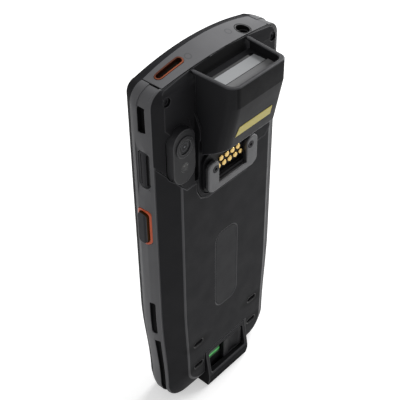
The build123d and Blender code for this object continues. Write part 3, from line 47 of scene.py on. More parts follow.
# ---- Side bumpers ----
# Two mirror-image bumpers run from the top seams round the lower corners. Each is one
# moulding of hard grey plastic with a fine spark-eroded grain, and its outer edges are
# slightly polished by pockets and holsters.
def paint(red, green, blue):
    """The shader colour of a paint whose 8-bit display colour is given."""
    channels = []
    for value in (red, green, blue):
        share = value / 255
        channels.append(share / 12.92 if share <= 0.04045 else ((share + 0.055) / 1.055) ** 2.4)
    return (*channels, 1.0)


def shade(colour, factor):
    """The same colour, lighter or darker."""
    return (*[min(1.0, channel * factor) for channel in colour[:3]], 1.0)


def cloud(tree, place, scale, detail=3.0):
    """A soft random pattern on the piece; scale is in blotches per metre."""
    noise = tree.nodes.new("ShaderNodeTexNoise")
    noise.inputs["Scale"].default_value = scale
    noise.inputs["Detail"].default_value = detail
    noise.inputs["Roughness"].default_value = 0.55
    tree.links.new(place, noise.inputs["Vector"])
    return noise.outputs["Fac"]


def spread(tree, pattern, low, high, start=0.3, end=0.7):
    """Goes from low to high while a pattern goes from start to end."""
    span = tree.nodes.new("ShaderNodeMapRange")
    span.inputs["From Min"].default_value = start
    span.inputs["From Max"].default_value = end
    span.inputs["To Min"].default_value = low
    span.inputs["To Max"].default_value = high
    tree.links.new(pattern, span.inputs["Value"])
    return span.outputs["Result"]


def two_tone(tree, share, first, second):
    """A colour that goes from first to second with a pattern."""
    mix = tree.nodes.new("ShaderNodeMix")
    mix.data_type = "RGBA"
    mix.inputs["A"].default_value = first
    mix.inputs["B"].default_value = second
    tree.links.new(share, mix.inputs["Factor"])
    return mix.outputs["Result"]


def relief(tree, heights, shader):
    """Bumps of several patterns; each is (pattern, height in metres)."""
    last = None
    for pattern, height in heights:
        bump = tree.nodes.new("ShaderNodeBump")
        bump.inputs["Strength"].default_value = 1.0
        bump.inputs["Distance"].default_value = height
        tree.links.new(pattern, bump.inputs["Height"])
        if last:
            tree.links.new(last, bump.inputs["Normal"])
        last = bump.outputs["Normal"]
    tree.links.new(last, shader.inputs["Normal"])


def new_finish(name):
    """A material with its node tree, its shader and the piece's own coordinates."""
    finish = bpy.data.materials.new(name)
    finish.use_nodes = True
    tree = finish.node_tree
    place = tree.nodes.new("ShaderNodeTexCoord").outputs["Object"]
    return finish, tree, tree.nodes["Principled BSDF"], place


TONE_BLOTCHES = 38.0
SHEEN_BLOTCHES = 120.0
TONE_HEIGHT = 0.00002


def grained_plastic(name, colour, rough, grain=2600.0, height=0.000012, gloss=0.2, blotch=0.07):
    """Moulded plastic: fine grain, slow changes of tone and of sheen from handling."""
    finish, tree, shader, place = new_finish(name)
    slow = cloud(tree, place, scale=TONE_BLOTCHES, detail=4.0)
    fine = cloud(tree, place, scale=grain, detail=2.0)
    share = spread(tree, slow, 0.0, 1.0)
    tone = two_tone(tree, share, shade(colour, 1 - blotch), shade(colour, 1 + blotch))
    tree.links.new(tone, shader.inputs["Base Color"])
    worn = cloud(tree, place, scale=SHEEN_BLOTCHES, detail=5.0)
    tree.links.new(spread(tree, worn, rough - 0.05, rough + 0.06), shader.inputs["Roughness"])
    relief(tree, [(slow, TONE_HEIGHT), (fine, height)], shader)
    shader.inputs["Specular IOR Level"].default_value = gloss
    return finish


MERGE_GAP = 0.000002
FLAT_TURN = math.radians(0.3)
ROUND_STEPS = 3


def moulding(node, name, finish, corner=0.0002, rubbed=None, turn=28.0, zones=()):
    """A solid's surface as it leaves the mould: outer corners rounded, inner ones sharp.

    zones are (finish, test) pairs; a face takes the last finish whose test(middle, normal,
    sunk) holds, where sunk tells that the face meets another in a sharp hollow corner.
    """
    mesh = solids[node].data.copy()
    mesh.name = name
    for spare in ("custom_normal", "sharp_edge"):
        if spare in mesh.attributes:
            mesh.attributes.remove(mesh.attributes[spare])
    mesh.materials.clear()
    for layer in (finish, rubbed or finish, *[extra for extra, _ in zones]):
        mesh.materials.append(layer)
    shape = bmesh.new()
    shape.from_mesh(mesh)
    bmesh.ops.remove_doubles(shape, verts=shape.verts, dist=MERGE_GAP)
    bmesh.ops.dissolve_limit(shape, angle_limit=FLAT_TURN, verts=shape.verts, edges=shape.edges)
    weight = shape.edges.layers.float.new("bevel_weight_edge")
    limit = math.radians(turn)
    sunk = set()
    for edge in shape.edges:
        if len(edge.link_faces) != 2 or edge.calc_face_angle(0.0) < limit:
            continue
        if edge.is_convex:
            edge[weight] = 1.0
        else:
            edge.smooth = False
            sunk.update(edge.link_faces)
    for face in shape.faces:
        face.smooth = True
        face.material_index = 0
        for number, (_, test) in enumerate(zones):
            if test(face.calc_center_median(), face.normal, face in sunk):
                face.material_index = 2 + number
    shape.to_mesh(mesh)
    shape.free()
    piece = bpy.data.objects.new(name, mesh)
    scene.collection.objects.link(piece)
    # Rounded outer corners take the lighter edge finish: edge wear on some pieces, and a painted
    # highlight on the cover and the hood.
    if corner:
        rounding = piece.modifiers.new("rounding", "BEVEL")
        rounding.limit_method = "WEIGHT"
        rounding.width = corner
        rounding.segments = ROUND_STEPS
        rounding.use_clamp_overlap = False
        rounding.harden_normals = True
        rounding.material = 1 if rubbed else -1
    else:
        mesh.set_sharp_from_angle(angle=limit)
    return piece


def stand_in(node, name, finish, body, slot, **shaping):
    """The finished piece that is seen in place of a plain solid."""
    piece = moulding(node, name, finish, **shaping)
    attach(piece, body)
    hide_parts(node)
    return piece


BUMPER_GREY = paint(92, 92, 94)
BUMPER_CORNER = 0.0003
FACING = 0.9
CAP_JOINT_X = 0.0305
CAP_JOINT_Z = 0.16
SCOOP_X = 0.037
SCOOP_Z = (0.1245, 0.155)
GROOVE_FLOOR_Y = (0.001, 0.0014)
GROOVE_FLOOR_Z = (0.0025, 0.044)
SLOTS_END_Z = 0.1683
bumper_plastic = grained_plastic("bumper_plastic", BUMPER_GREY, 0.52)
bumper_edge = grained_plastic("bumper_edge", shade(BUMPER_GREY, 1.12), 0.42)
# Near-black painted shade for the faces of slots, grooves, holes, open joints and other hollows.
painted_shade_black = grained_plastic("painted_shade_black", paint(17, 17, 18), 0.8, gloss=0.05)


def inside(value, span):
    """Whether a coordinate lies between the two ends of a span."""
    return span[0] < value < span[1]


def in_bumper_slot(middle, normal, sunk):
    """Faces painted near-black as shade: strap slot, short slot, long groove, key wells and the
    joints at the cap, but not the shallow channels.

    A face looks along an axis where its normal has the share FACING of that axis.
    """
    sideways = abs(normal.x) > FACING
    joint = sideways and abs(middle.x) < CAP_JOINT_X and middle.z > CAP_JOINT_Z
    scoop = inside(middle.z, SCOOP_Z) and abs(middle.x) > SCOOP_X
    floor = sideways and inside(middle.y, GROOVE_FLOOR_Y) and inside(middle.z, GROOVE_FLOOR_Z)
    return joint or floor or (sunk and middle.z < SLOTS_END_Z and not scoop)


# The bumpers' slots, grooves, key wells and cap joints are painted near-black as shade.
for side in ("right", "left"):
    stand_in(
        "bumper_" + side, "bumper_shell_" + side, bumper_plastic, "case", "bumper_grey",
        corner=BUMPER_CORNER, rubbed=bumper_edge, zones=[(painted_shade_black, in_bumper_slot)]
    )
stand_in("end_cap", "end_cap_shell", bumper_plastic, "case", "bumper_grey", rubbed=bumper_edge)


# ---- Front frame and cover glass ----
# A thin black plastic frame carries a chemically hardened glass with a black printed
# border. The display is bonded behind the clear part of the glass.
FRAME_BLACK = paint(38, 38, 40)
FRAME_CORNER = 0.00025
frame_plastic = grained_plastic("frame_plastic", FRAME_BLACK, 0.75, gloss=0.04)
frame_edge = grained_plastic("frame_edge", shade(FRAME_BLACK, 1.5), 0.6, gloss=0.08)
stand_in(
    "front_bezel", "front_frame_shell", frame_plastic, "case", "frame_black",
    corner=FRAME_CORNER, rubbed=frame_edge
)


def wear_finish(node, finish):
    """Gives a carried-over solid its finish."""
    for slot in solids[node].material_slots:
        slot.material = finish


def polished_glass(name, colour, rough=0.03, through=0.9, smear=0.05):
    """Glass with faint finger smears, seen only in its reflections."""
    finish, tree, shader, place = new_finish(name)
    shader.inputs["Transmission Weight"].default_value = through
    shader.inputs["IOR"].default_value = 1.5
    smears = cloud(tree, place, scale=70.0, detail=6.0)
    sheen = spread(tree, smears, rough, rough + smear, start=0.45, end=0.75)
    tree.links.new(sheen, shader.inputs["Roughness"])
    tint = two_tone(tree, smears, shade(colour, 0.95), shade(colour, 1.05))
    tree.links.new(tint, shader.inputs["Base Color"])
    return finish


wear_finish("cover_glass", polished_glass("smoked_cover_glass", paint(120, 124, 130)))
PIXEL = 0.00012
PIXEL_GAP = 0.00001


def display_finish():
    """The dark sandwich of a switched-off display, with its fine pixel grid."""
    finish, tree, shader, place = new_finish("display_off")
    grid = tree.nodes.new("ShaderNodeTexBrick")
    grid.offset = 0.0
    grid.inputs["Scale"].default_value = 1.0
    grid.inputs["Brick Width"].default_value = PIXEL
    grid.inputs["Row Height"].default_value = PIXEL
    grid.inputs["Mortar Size"].default_value = PIXEL_GAP
    grid.inputs["Color1"].default_value = paint(17, 18, 22)
    grid.inputs["Color2"].default_value = paint(21, 22, 26)
    grid.inputs["Mortar"].default_value = paint(8, 8, 10)
    upright = tree.nodes.new("ShaderNodeMapping")
    upright.inputs["Rotation"].default_value = (math.radians(90), 0, 0)
    tree.links.new(place, upright.inputs["Vector"])
    tree.links.new(upright.outputs["Vector"], grid.inputs["Vector"])
    tree.links.new(grid.outputs["Color"], shader.inputs["Base Color"])
    haze = cloud(tree, place, scale=60.0)
    tree.links.new(spread(tree, haze, 0.12, 0.2), shader.inputs["Roughness"])
    return finish


wear_finish("display_panel", display_finish())


# ---- Top cap ----
# A separate arched cap of lighter grey plastic closes the upper end between two seams.
# It has the same grain as the bumpers and two small printed rings beside its openings.
CAP_GREY = paint(108, 108, 110)
SIGN_PLACES = ((0.0108, -0.001), (-0.0123, -0.0014))
SIGN_RADIUS = 0.0013
SIGN_LINE = 0.0002625
SIGN_BLUR = 0.0000875
SIGN_INK = 0.5
SOCKET_MIDDLE = (-0.0189, 0.0003)
SOCKET_SHADE_SPAN = (0.0034, 0.0036)
CAP_END_X = 0.028
CAP_BACK_Y = 0.0033
CAP_BACK_Z = 0.17
CAP_SEAM_Z = 0.1726
cap_plastic = grained_plastic("cap_plastic", CAP_GREY, 0.58, gloss=0.08)
cap_edge = grained_plastic("cap_edge", shade(CAP_GREY, 1.1), 0.5, gloss=0.1)


def stain(finish, where, colour):
    """Lays a second colour over part of a finish; where(tree, place) gives its strength."""
    tree = finish.node_tree
    shader = tree.nodes["Principled BSDF"]
    place = tree.nodes["Texture Coordinate"].outputs["Object"]
    mix = tree.nodes.new("ShaderNodeMix")
    mix.data_type = "RGBA"
    tree.links.new(shader.inputs["Base Color"].links[0].from_socket, mix.inputs["A"])
    mix.inputs["B"].default_value = colour
    tree.links.new(where(tree, place), mix.inputs["Factor"])
    tree.links.new(mix.outputs["Result"], shader.inputs["Base Color"])


def distance_from(tree, place, middle, across):
    """Distance from an axis through a point; across is 1 for the directions that count."""
    flat = tree.nodes.new("ShaderNodeVectorMath")
    flat.operation = "MULTIPLY"
    flat.inputs[1].default_value = across
    tree.links.new(place, flat.inputs[0])
    gap = tree.nodes.new("ShaderNodeVectorMath")
    gap.operation = "DISTANCE"
    gap.inputs[1].default_value = [value * keep for value, keep in zip(middle, across)]
    tree.links.new(flat.outputs["Vector"], gap.inputs[0])
    return gap.outputs["Value"]


def product(tree, first, second):
    """Two strengths multiplied."""
    both = tree.nodes.new("ShaderNodeMath")
    both.operation = "MULTIPLY"
    tree.links.new(first, both.inputs[0])
    tree.links.new(second, both.inputs[1])
    return both.outputs["Value"]


def within(tree, source, low, high, soft, strength=1.0):
    """The strength where a measure lies between low and high, with soft ends."""
    rise = spread(tree, source, 0.0, strength, low - soft, low + soft)
    fall = spread(tree, source, 1.0, 0.0, high - soft, high + soft)
    return product(tree, rise, fall)


def printed_ring(x, y):
    """The thin line of a sign that is printed round a vertical axis."""
    def where(tree, place):
        gap = distance_from(tree, place, (x, y, 0.0), (1.0, 1.0, 0.0))
        inner, outer = SIGN_RADIUS - SIGN_LINE, SIGN_RADIUS + SIGN_LINE
        return within(tree, gap, inner, outer, SIGN_BLUR, strength=SIGN_INK)
    return where


def socket_painted_shade(tree, place):
    """Painted shade round the headphone socket's hole, fading out at its edge."""
    gap = distance_from(tree, place, (*SOCKET_MIDDLE, 0.0), (1.0, 1.0, 0.0))
    return spread(tree, gap, 1.0, 0.0, *SOCKET_SHADE_SPAN)


def in_cap_joint(middle, normal, sunk):
    """The open joints at both ends and along the back edge of the cap, painted near-black as
    shade.
    """
    end = abs(normal.x) > FACING and abs(middle.x) > CAP_END_X
    behind = normal.y > FACING and middle.y > CAP_BACK_Y and middle.z > CAP_BACK_Z
    return end or behind or (normal.z > FACING and middle.z < CAP_SEAM_Z)


for x, y in SIGN_PLACES:
    stain(cap_plastic, printed_ring(x, y), shade(CAP_GREY, 0.55))
# A dark disc of painted shade round the socket's hole.
stain(cap_plastic, socket_painted_shade, paint(20, 20, 21))
# The cap's open joints are painted near-black as shade.
stand_in(
    "top_cap", "top_cap_shell", cap_plastic, "case", "cap_grey",
    rubbed=cap_edge, zones=[(painted_shade_black, in_cap_joint)]
)


# ---- Power key ----
# A dark moulded key sits in a slot of the top cap, inside an orange ring that is pressed
# into the cap. The ring is worn on top; its side nearest the screen and its upright walls
# are painted darker as shade.
POWER_RING_CORNER = 0.0001
POWER_KEY_CORNER = 0.00015
RING_WALL_TILT = 0.6
RING_SHADE_Y = (-0.0034, -0.0006)
RING_SHADE_STRENGTH = 0.85
orange_shade = grained_plastic("orange_in_shade", paint(44, 18, 7), 0.6, gloss=0.05)
orange_worn = grained_plastic("orange_worn", paint(150, 78, 48), 0.5, gloss=0.15)
power_black = grained_plastic("power_black", paint(14, 9, 5), 0.65, gloss=0.03)


def is_ring_wall(middle, normal, sunk):
    """The upright walls of the power ring, which lie in shade."""
    return abs(normal.z) < RING_WALL_TILT


def coordinate(tree, place, axis):
    """One of the piece's own coordinates, X, Y or Z."""
    parts = tree.nodes.new("ShaderNodeSeparateXYZ")
    tree.links.new(place, parts.inputs[0])
    return parts.outputs[axis]


def ring_side_painted_shade(tree, place):
    """Painted shade on the side of the power ring that lies towards the screen."""
    return spread(tree, coordinate(tree, place, "Y"), RING_SHADE_STRENGTH, 0.0, *RING_SHADE_Y)


# Painted shade on the ring's side towards the screen.
stain(orange_worn, ring_side_painted_shade, paint(70, 34, 20))
stand_in(
    "power_ring", "power_ring_trim", orange_worn, "case", "orange_trim",
    corner=POWER_RING_CORNER, zones=[(orange_shade, is_ring_wall)]
)
stand_in(
    "power_key", "power_key_cap", power_black, "power_key", "key_black",
    corner=POWER_KEY_CORNER
)


# ---- Side keys ----
# A volume rocker with two grooves sits in the right bumper, and a scan trigger in each
# bumper. Each trigger has a dark face whose side walls are painted dark orange-brown as
# shade, and moves inside an orange ring that is pressed into the bumper.
ORANGE = paint(206, 84, 38)
KEY_BLACK = paint(35, 35, 38)
ROCKER_CORNER = 0.00018
SKIRT_TILT = 0.7


def orange_finish():
    """Satin orange trim, darker where dirt gathers."""
    finish, tree, shader, place = new_finish("orange_trim_satin")
    dirt = cloud(tree, place, scale=400.0, detail=5.0)
    tone = two_tone(tree, spread(tree, dirt, 0.0, 1.0), shade(ORANGE, 0.86), shade(ORANGE, 1.08))
    tree.links.new(tone, shader.inputs["Base Color"])
    tree.links.new(spread(tree, dirt, 0.3, 0.42), shader.inputs["Roughness"])
    fine = cloud(tree, place, scale=3000.0, detail=2.0)
    relief(tree, [(fine, 0.000004)], shader)
    shader.inputs["Specular IOR Level"].default_value = 0.4
    return finish


orange_trim = orange_finish()
key_plastic = grained_plastic("key_plastic", KEY_BLACK, 0.44, grain=3200.0, gloss=0.12)
key_edge = grained_plastic("key_edge", shade(KEY_BLACK, 1.35), 0.36, grain=3200.0, gloss=0.3)
# Dark orange-brown painted shade for the trigger's side walls.
skirt_painted_shade = grained_plastic("skirt_painted_shade", paint(60, 38, 12), 0.6, gloss=0.05)


def is_sunk(middle, normal, sunk):
    """Grooves, wells and other hollows with sharp inner corners."""
    return sunk


def is_trigger_skirt(middle, normal, sunk):
    """The side walls of a trigger, all round its dark face, painted dark orange-brown as shade.
    """
    return abs(normal.x) < SKIRT_TILT


# The rocker's grooves are painted near-black as shade.
stand_in(
    "volume_key", "volume_rocker", key_plastic, "volume_key", "key_black",
    corner=ROCKER_CORNER, rubbed=key_edge, zones=[(painted_shade_black, is_sunk)]
)
for side in ("right", "left"):
    stand_in("scan_ring_" + side, "trigger_ring_" + side, orange_trim, "case", "orange_trim")
    stand_in(
        "scan_key_" + side, "trigger_" + side, key_plastic, "scan_key_" + side, "key_black",
        rubbed=key_edge, zones=[(skirt_painted_shade, is_trigger_skirt)]
    )


# ---- Headphone socket ----
# The black moulded liner of the socket comes up through a round hole in the cap and
# ends flush with it.
liner_plastic = grained_plastic("liner_plastic", paint(24, 24, 26), 0.4, gloss=0.25)
stand_in("headphone_jack", "socket_liner", liner_plastic, "case", "inner_black")


# ---- Upper back housing ----
# The deck and shoulders round the hood, moulded in fine matt dark plastic. Two screws
# sit in deep holes beside the cap.
BACK_DARK = paint(34, 34, 36)
SCREW_HOLE = Vector((0.0301, 0.0, 0.1694))
SCREW_HOLE_RADIUS = 0.002
SCREW_CORNER = 0.00008
SHADE_WALL_X = (-0.0148, 0.0148)
SHADE_WALL_Z = (0.163, 0.1758)
SHADE_WALL_BLUR = (0.0003, 0.0011)
housing_plastic = grained_plastic("housing_plastic", BACK_DARK, 0.6, gloss=0.08)
back_edge = grained_plastic("back_edge", shade(BACK_DARK, 1.5), 0.48, gloss=0.2)


def in_screw_hole(middle, normal, sunk):
    """The walls of the two screw holes, which lie alike on both sides; painted near-black as
    shade.
    """
    return (Vector((abs(middle.x), 0.0, middle.z)) - SCREW_HOLE).length < SCREW_HOLE_RADIUS


def hood_wall_painted_shade(tree, place):
    """Painted shade on the wall that faces the scan beam, up to its upper edge."""
    across = within(tree, coordinate(tree, place, "X"), *SHADE_WALL_X, SHADE_WALL_BLUR[0])
    upwards = within(tree, coordinate(tree, place, "Z"), *SHADE_WALL_Z, SHADE_WALL_BLUR[1])
    return product(tree, across, upwards)


# Painted shade darkens the housing's wall inside the hood.
stain(housing_plastic, hood_wall_painted_shade, paint(15, 15, 16))
# The screw holes' walls are painted near-black as shade.
stand_in(
    "rear_housing", "rear_housing_shell", housing_plastic, "case", "back_dark",
    rubbed=back_edge, zones=[(painted_shade_black, in_screw_hole)]
)


def turned_steel(name, colour, rough):
    """Steel with turned marks and bare spots."""
    finish, tree, shader, place = new_finish(name)
    marks = cloud(tree, place, scale=900.0, detail=5.0)
    tone = two_tone(tree, spread(tree, marks, 0.0, 1.0), shade(colour, 0.8), shade(colour, 1.2))
    tree.links.new(tone, shader.inputs["Base Color"])
    tree.links.new(spread(tree, marks, rough - 0.06, rough + 0.08), shader.inputs["Roughness"])
    shader.inputs["Metallic"].default_value = 1.0
    relief(tree, [(marks, 0.000006)], shader)
    return finish


screw_steel = turned_steel("screw_steel", paint(38, 38, 40), 0.5)
stand_in(
    "housing_screws", "housing_screw_set", screw_steel, "case", "screw_metal",
    corner=SCREW_CORNER
)


# ---- Battery cover ----
# The raised back panel lifts off with the battery. It is moulded in the same matt
# plastic, with sloping flanks, a smooth inlay and four finger dents.
COVER_CORNER = 0.0006
COVER_TURN = 18.0
INLAY_CORNER = 0.00006
DENT_X = 0.0187
DENT_Z = (0.0186, 0.0332)
DENT_FADE = (0.002, 0.0044)
DENT_SQUEEZE = (0.45, 0.0, 1.0)
DENT_SHADE = paint(10, 10, 11)
DENT_STRENGTH = 0.85
# A lighter copy of the cover plastic on its rounded ridges: painted highlight.
ridge_painted_highlight = grained_plastic("ridge_painted_highlight", shade(BACK_DARK, 2.3), 0.42, gloss=0.25)
cover_plastic = grained_plastic("cover_plastic", BACK_DARK, 0.6, gloss=0.08)


def around_dent(x, z):
    """The soft shade of a finger dent, longer than it is high."""
    def where(tree, place):
        gap = distance_from(tree, place, (x, 0.0, z), DENT_SQUEEZE)
        return spread(tree, gap, DENT_STRENGTH, 0.0, *DENT_FADE)
    return where


for x in (DENT_X, -DENT_X):
    for z in DENT_Z:
        for finish in (cover_plastic, ridge_painted_highlight):
            stain(finish, around_dent(x, z), DENT_SHADE)
# The cover's hollows are painted near-black as shade.
stand_in(
    "battery_cover", "battery_cover_shell", cover_plastic, "case", "back_dark",
    corner=COVER_CORNER, rubbed=ridge_painted_highlight, turn=COVER_TURN, zones=[(painted_shade_black, is_sunk)]
)
inlay_plastic = grained_plastic(
    "inlay_plastic", paint(40, 40, 42), 0.55, grain=4000.0, height=0.000004, gloss=0.1
)
stand_in(
    "cover_plaque", "cover_inlay", inlay_plastic, "case", "back_dark", corner=INLAY_CORNER
)


# ---- Scanner hood ----
# A deep hood guards the scan window. It is moulded in matt dark plastic, is open at its
# top and slants back to the connector below.
HOOD_DARK = paint(32, 32, 34)
HOOD_CORNER = 0.0005
RIM_Z = 0.175
LEAN = 0.08
SLANT_OUT = 0.6
hood_plastic = grained_plastic("hood_plastic", HOOD_DARK, 0.58, gloss=0.1)
# Lit and shaded copies of the hood plastic: painted highlight on its rounded edges, painted light
# on its rim, and painted shade on its upright back, its slant and its hollows.
hood_edge_painted_highlight = grained_plastic("hood_edge_painted_highlight", shade(HOOD_DARK, 3.0), 0.46, gloss=0.22)
hood_rim_painted_light = grained_plastic("hood_rim_painted_light", shade(HOOD_DARK, 2.0), 0.5, gloss=0.2)
hood_slant_painted_shade = grained_plastic("hood_slant_painted_shade", shade(HOOD_DARK, 0.9), 0.5, gloss=0.12)
hood_back_painted_shade = grained_plastic("hood_back_painted_shade", shade(HOOD_DARK, 0.55), 0.58, gloss=0.06)
hood_hollow_painted_shade = grained_plastic("hood_hollow_painted_shade", paint(26, 26, 28), 0.75, gloss=0.05)


def is_upright_back(middle, normal, sunk):
    """The upright upper half of the hood's back."""
    return normal.y > FACING and abs(normal.z) < LEAN


def is_rim(middle, normal, sunk):
    """The rim round the hood's open top."""
    return normal.z > FACING and middle.z > RIM_Z


def is_slant(middle, normal, sunk):
    """The slant that runs down to the connector."""
    return normal.y > SLANT_OUT and normal.z < -LEAN


stand_in(
    "scanner_hood", "hood_shell", hood_plastic, "case", "hood_dark",
    corner=HOOD_CORNER, rubbed=hood_edge_painted_highlight,
    zones=[
        (hood_hollow_painted_shade, is_sunk), (hood_back_painted_shade, is_upright_back), (hood_rim_painted_light, is_rim),
        (hood_slant_painted_shade, is_slant)
    ]
)


# ---- Scan window and engine ----
# A clear window lies in a tray over the scan engine, a bright metal block with three round
# lenses. The window's pale grey is a painted reflection; its edge nearest the screen and
# the tray are painted shade, and the tray's pale ledge behind the window greys towards the
# hood's wall as painted shade.
LEDGE_Y = (0.0168, 0.017)
LEDGE_SHADE_Y = (0.0188, 0.0225)
LEDGE_SHADE = 0.35
WINDOW_SHADE_Y = (0.0108, 0.011)
tray_painted_shade = grained_plastic("tray_painted_shade", paint(26, 26, 28), 0.75, gloss=0.05)
# The window's pale grey, nearly opaque, is a painted reflection of the bright sky.
pane_painted_reflection = polished_glass(
    "clear_window_painted_reflection", paint(166, 168, 170), rough=0.1, through=0.15, smear=0.03
)


def back_ledge(tree, place):
    """The pale ledge of the tray behind the window, greyed by painted shade towards the hood's
    wall.
    """
    outwards = coordinate(tree, place, "Y")
    start = spread(tree, outwards, 0.0, 1.0, *LEDGE_Y)
    return product(tree, start, spread(tree, outwards, 1.0, LEDGE_SHADE, *LEDGE_SHADE_Y))


def window_edge_painted_shade(tree, place):
    """Painted shade along the window's edge nearest the screen."""
    return spread(tree, coordinate(tree, place, "Y"), 1.0, 0.0, *WINDOW_SHADE_Y)


# The tray is painted dark as shade inside the hood, and its pale ledge greys towards the wall as
# painted shade.
stain(tray_painted_shade, back_ledge, paint(122, 122, 123))
stand_in("window_frame", "window_tray", tray_painted_shade, "case", "hood_dark")
# Painted shade along the window's edge nearest the screen.
stain(pane_painted_reflection, window_edge_painted_shade, paint(24, 24, 26))
wear_finish("scan_window", pane_painted_reflection)
wear_finish("scan_engine", turned_steel("engine_metal", paint(190, 190, 192), 0.35))
engine_glass = polished_glass("engine_lens_glass", paint(90, 100, 120), through=0.6)
wear_finish("engine_lenses", engine_glass)


# ---- Yellow strip ----
# A thin strip of yellow plastic film is stuck across the hood's slanted back. It is
# plain all over.
def film_finish(name, colour):
    """Coloured film with a faint orange-peel surface."""
    finish, tree, shader, place = new_finish(name)
    peel = cloud(tree, place, scale=600.0, detail=3.0)
    tone = two_tone(tree, peel, shade(colour, 0.93), shade(colour, 1.05))
    tree.links.new(tone, shader.inputs["Base Color"])
    tree.links.new(spread(tree, peel, 0.3, 0.42), shader.inputs["Roughness"])
    relief(tree, [(peel, 0.00001)], shader)
    return finish


yellow_film = film_finish("yellow_film", paint(184, 168, 34))
stand_in("blank_strip", "plain_strip", yellow_film, "case", "yellow_strip", corner=0)


# ---- Camera island ----
# A raised oval of smooth dark plastic is set into the back housing. It holds the camera
# lens in a stepped ring and the flash window below it.
ISLAND_CORNER = 0.0003
LENS_RINGS = (
    (0.0027, 0.00015, paint(60, 60, 63)),
    (0.0017, 0.0003, paint(58, 58, 62)),
    (0.0, 0.0004, paint(120, 122, 128)),
)
RING_BLUR = 0.3
FACETS_PER_METRE = 900.0
island_plastic = grained_plastic("island_plastic", paint(36, 36, 38), 0.42, gloss=0.12)
island_edge = grained_plastic("island_edge", paint(56, 56, 58), 0.36, gloss=0.3)
stand_in(
    "camera_bezel", "camera_island", island_plastic, "case", "hood_dark",
    corner=ISLAND_CORNER, rubbed=island_edge
)


def middle_of(node):
    """The middle of a solid's box."""
    low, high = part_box(node)
    return [(a + b) / 2 for a, b in zip(low, high)]


def lens_finish(name, middle, rings):
    """Coated glass over a dark barrel; rings are (radius, half width, colour) round its axis."""
    finish, tree, shader, place = new_finish(name)
    dust = cloud(tree, place, scale=500.0, detail=5.0)
    tone = two_tone(tree, dust, paint(14, 15, 18), paint(22, 23, 27))
    tree.links.new(tone, shader.inputs["Base Color"])
    tree.links.new(spread(tree, dust, 0.08, 0.16), shader.inputs["Roughness"])
    shader.inputs["Specular IOR Level"].default_value = 0.08
    gap = distance_from(tree, place, middle, (1.0, 0.0, 1.0))
    for radius, half, colour in rings:
        ring = within(tree, gap, radius - half, radius + half, half * RING_BLUR)
        stain(finish, lambda tree, place: ring, colour)
    return finish


def flash_finish():
    """Dark frosted plastic with small painted glints where its facets catch the light."""
    finish, tree, shader, place = new_finish("frosted_flash")
    facets = tree.nodes.new("ShaderNodeTexVoronoi")
    facets.inputs["Scale"].default_value = FACETS_PER_METRE
    tree.links.new(place, facets.inputs["Vector"])
    depth = facets.outputs["Distance"]
    painted_glint = spread(tree, depth, 1.0, 0.0, 0.25, 0.45)
    tone = two_tone(tree, painted_glint, paint(34, 34, 35), paint(100, 100, 97))
    tree.links.new(tone, shader.inputs["Base Color"])
    tree.links.new(spread(tree, depth, 0.2, 0.4), shader.inputs["Roughness"])
    relief(tree, [(depth, 0.00005)], shader)
    shader.inputs["Specular IOR Level"].default_value = 0.2
    return finish


wear_finish("camera_lens", lens_finish("camera_lens_glass", middle_of("camera_lens"), LENS_RINGS))
wear_finish("flash_lens", flash_finish())


# ---- Rear connector ----
# Nine gold contacts stand in two rows on a black block, and a die-cast bracket with two
# screws guides the dock on to them.
CONNECTOR_CORNER = 0.00015
BAR_EDGE_Z = 0.1242
BAR_EDGE_BAND = 0.0004
BAR_HALF_LENGTH = 0.0092
BAR_THINNED = 0.0015
BRACKET_SCREW_CORNER = 0.00006
connector_plastic = grained_plastic("connector_plastic", paint(24, 24, 26), 0.5, gloss=0.12)
stand_in(
    "connector_housing", "connector_block", connector_plastic, "case", "inner_black",
    corner=CONNECTOR_CORNER
)


def gold_finish():
    """Hard gold plating with fine scratches."""
    finish, tree, shader, place = new_finish("gold_plating")
    scratches = cloud(tree, place, scale=1500.0, detail=6.0)
    tone = two_tone(tree, scratches, (0.5, 0.33, 0.1, 1.0), (0.68, 0.5, 0.2, 1.0))
    tree.links.new(tone, shader.inputs["Base Color"])
    tree.links.new(spread(tree, scratches, 0.16, 0.3), shader.inputs["Roughness"])
    shader.inputs["Metallic"].default_value = 1.0
    relief(tree, [(scratches, 0.000004)], shader)
    return finish


def cast_metal():
    """Painted die-casting: satin grey with a fine pebble surface."""
    finish, tree, shader, place = new_finish("cast_metal")
    pebble = cloud(tree, place, scale=1400.0, detail=3.0)
    slow = cloud(tree, place, scale=150.0, detail=4.0)
    tone = two_tone(tree, spread(tree, slow, 0.0, 1.0), paint(68, 68, 70), paint(84, 84, 86))
    tree.links.new(tone, shader.inputs["Base Color"])
    tree.links.new(spread(tree, pebble, 0.34, 0.46), shader.inputs["Roughness"])
    shader.inputs["Metallic"].default_value = 0.35
    relief(tree, [(pebble, 0.000014)], shader)
    return finish


gold_plating = gold_finish()
stand_in("contact_pads", "contact_pins", gold_plating, "case", "gold", corner=0)
guide = stand_in("bracket", "guide_bracket", cast_metal(), "case", "bracket_metal")
for corner in guide.data.vertices:
    on_edge = abs(corner.co.z - BAR_EDGE_Z) < BAR_EDGE_BAND
    if on_edge and abs(corner.co.x) < BAR_HALF_LENGTH:
        corner.co.z -= BAR_THINNED
stand_in(
    "bracket_screws", "bracket_screw_pair", screw_steel, "case", "screw_metal",
    corner=BRACKET_SCREW_CORNER
)


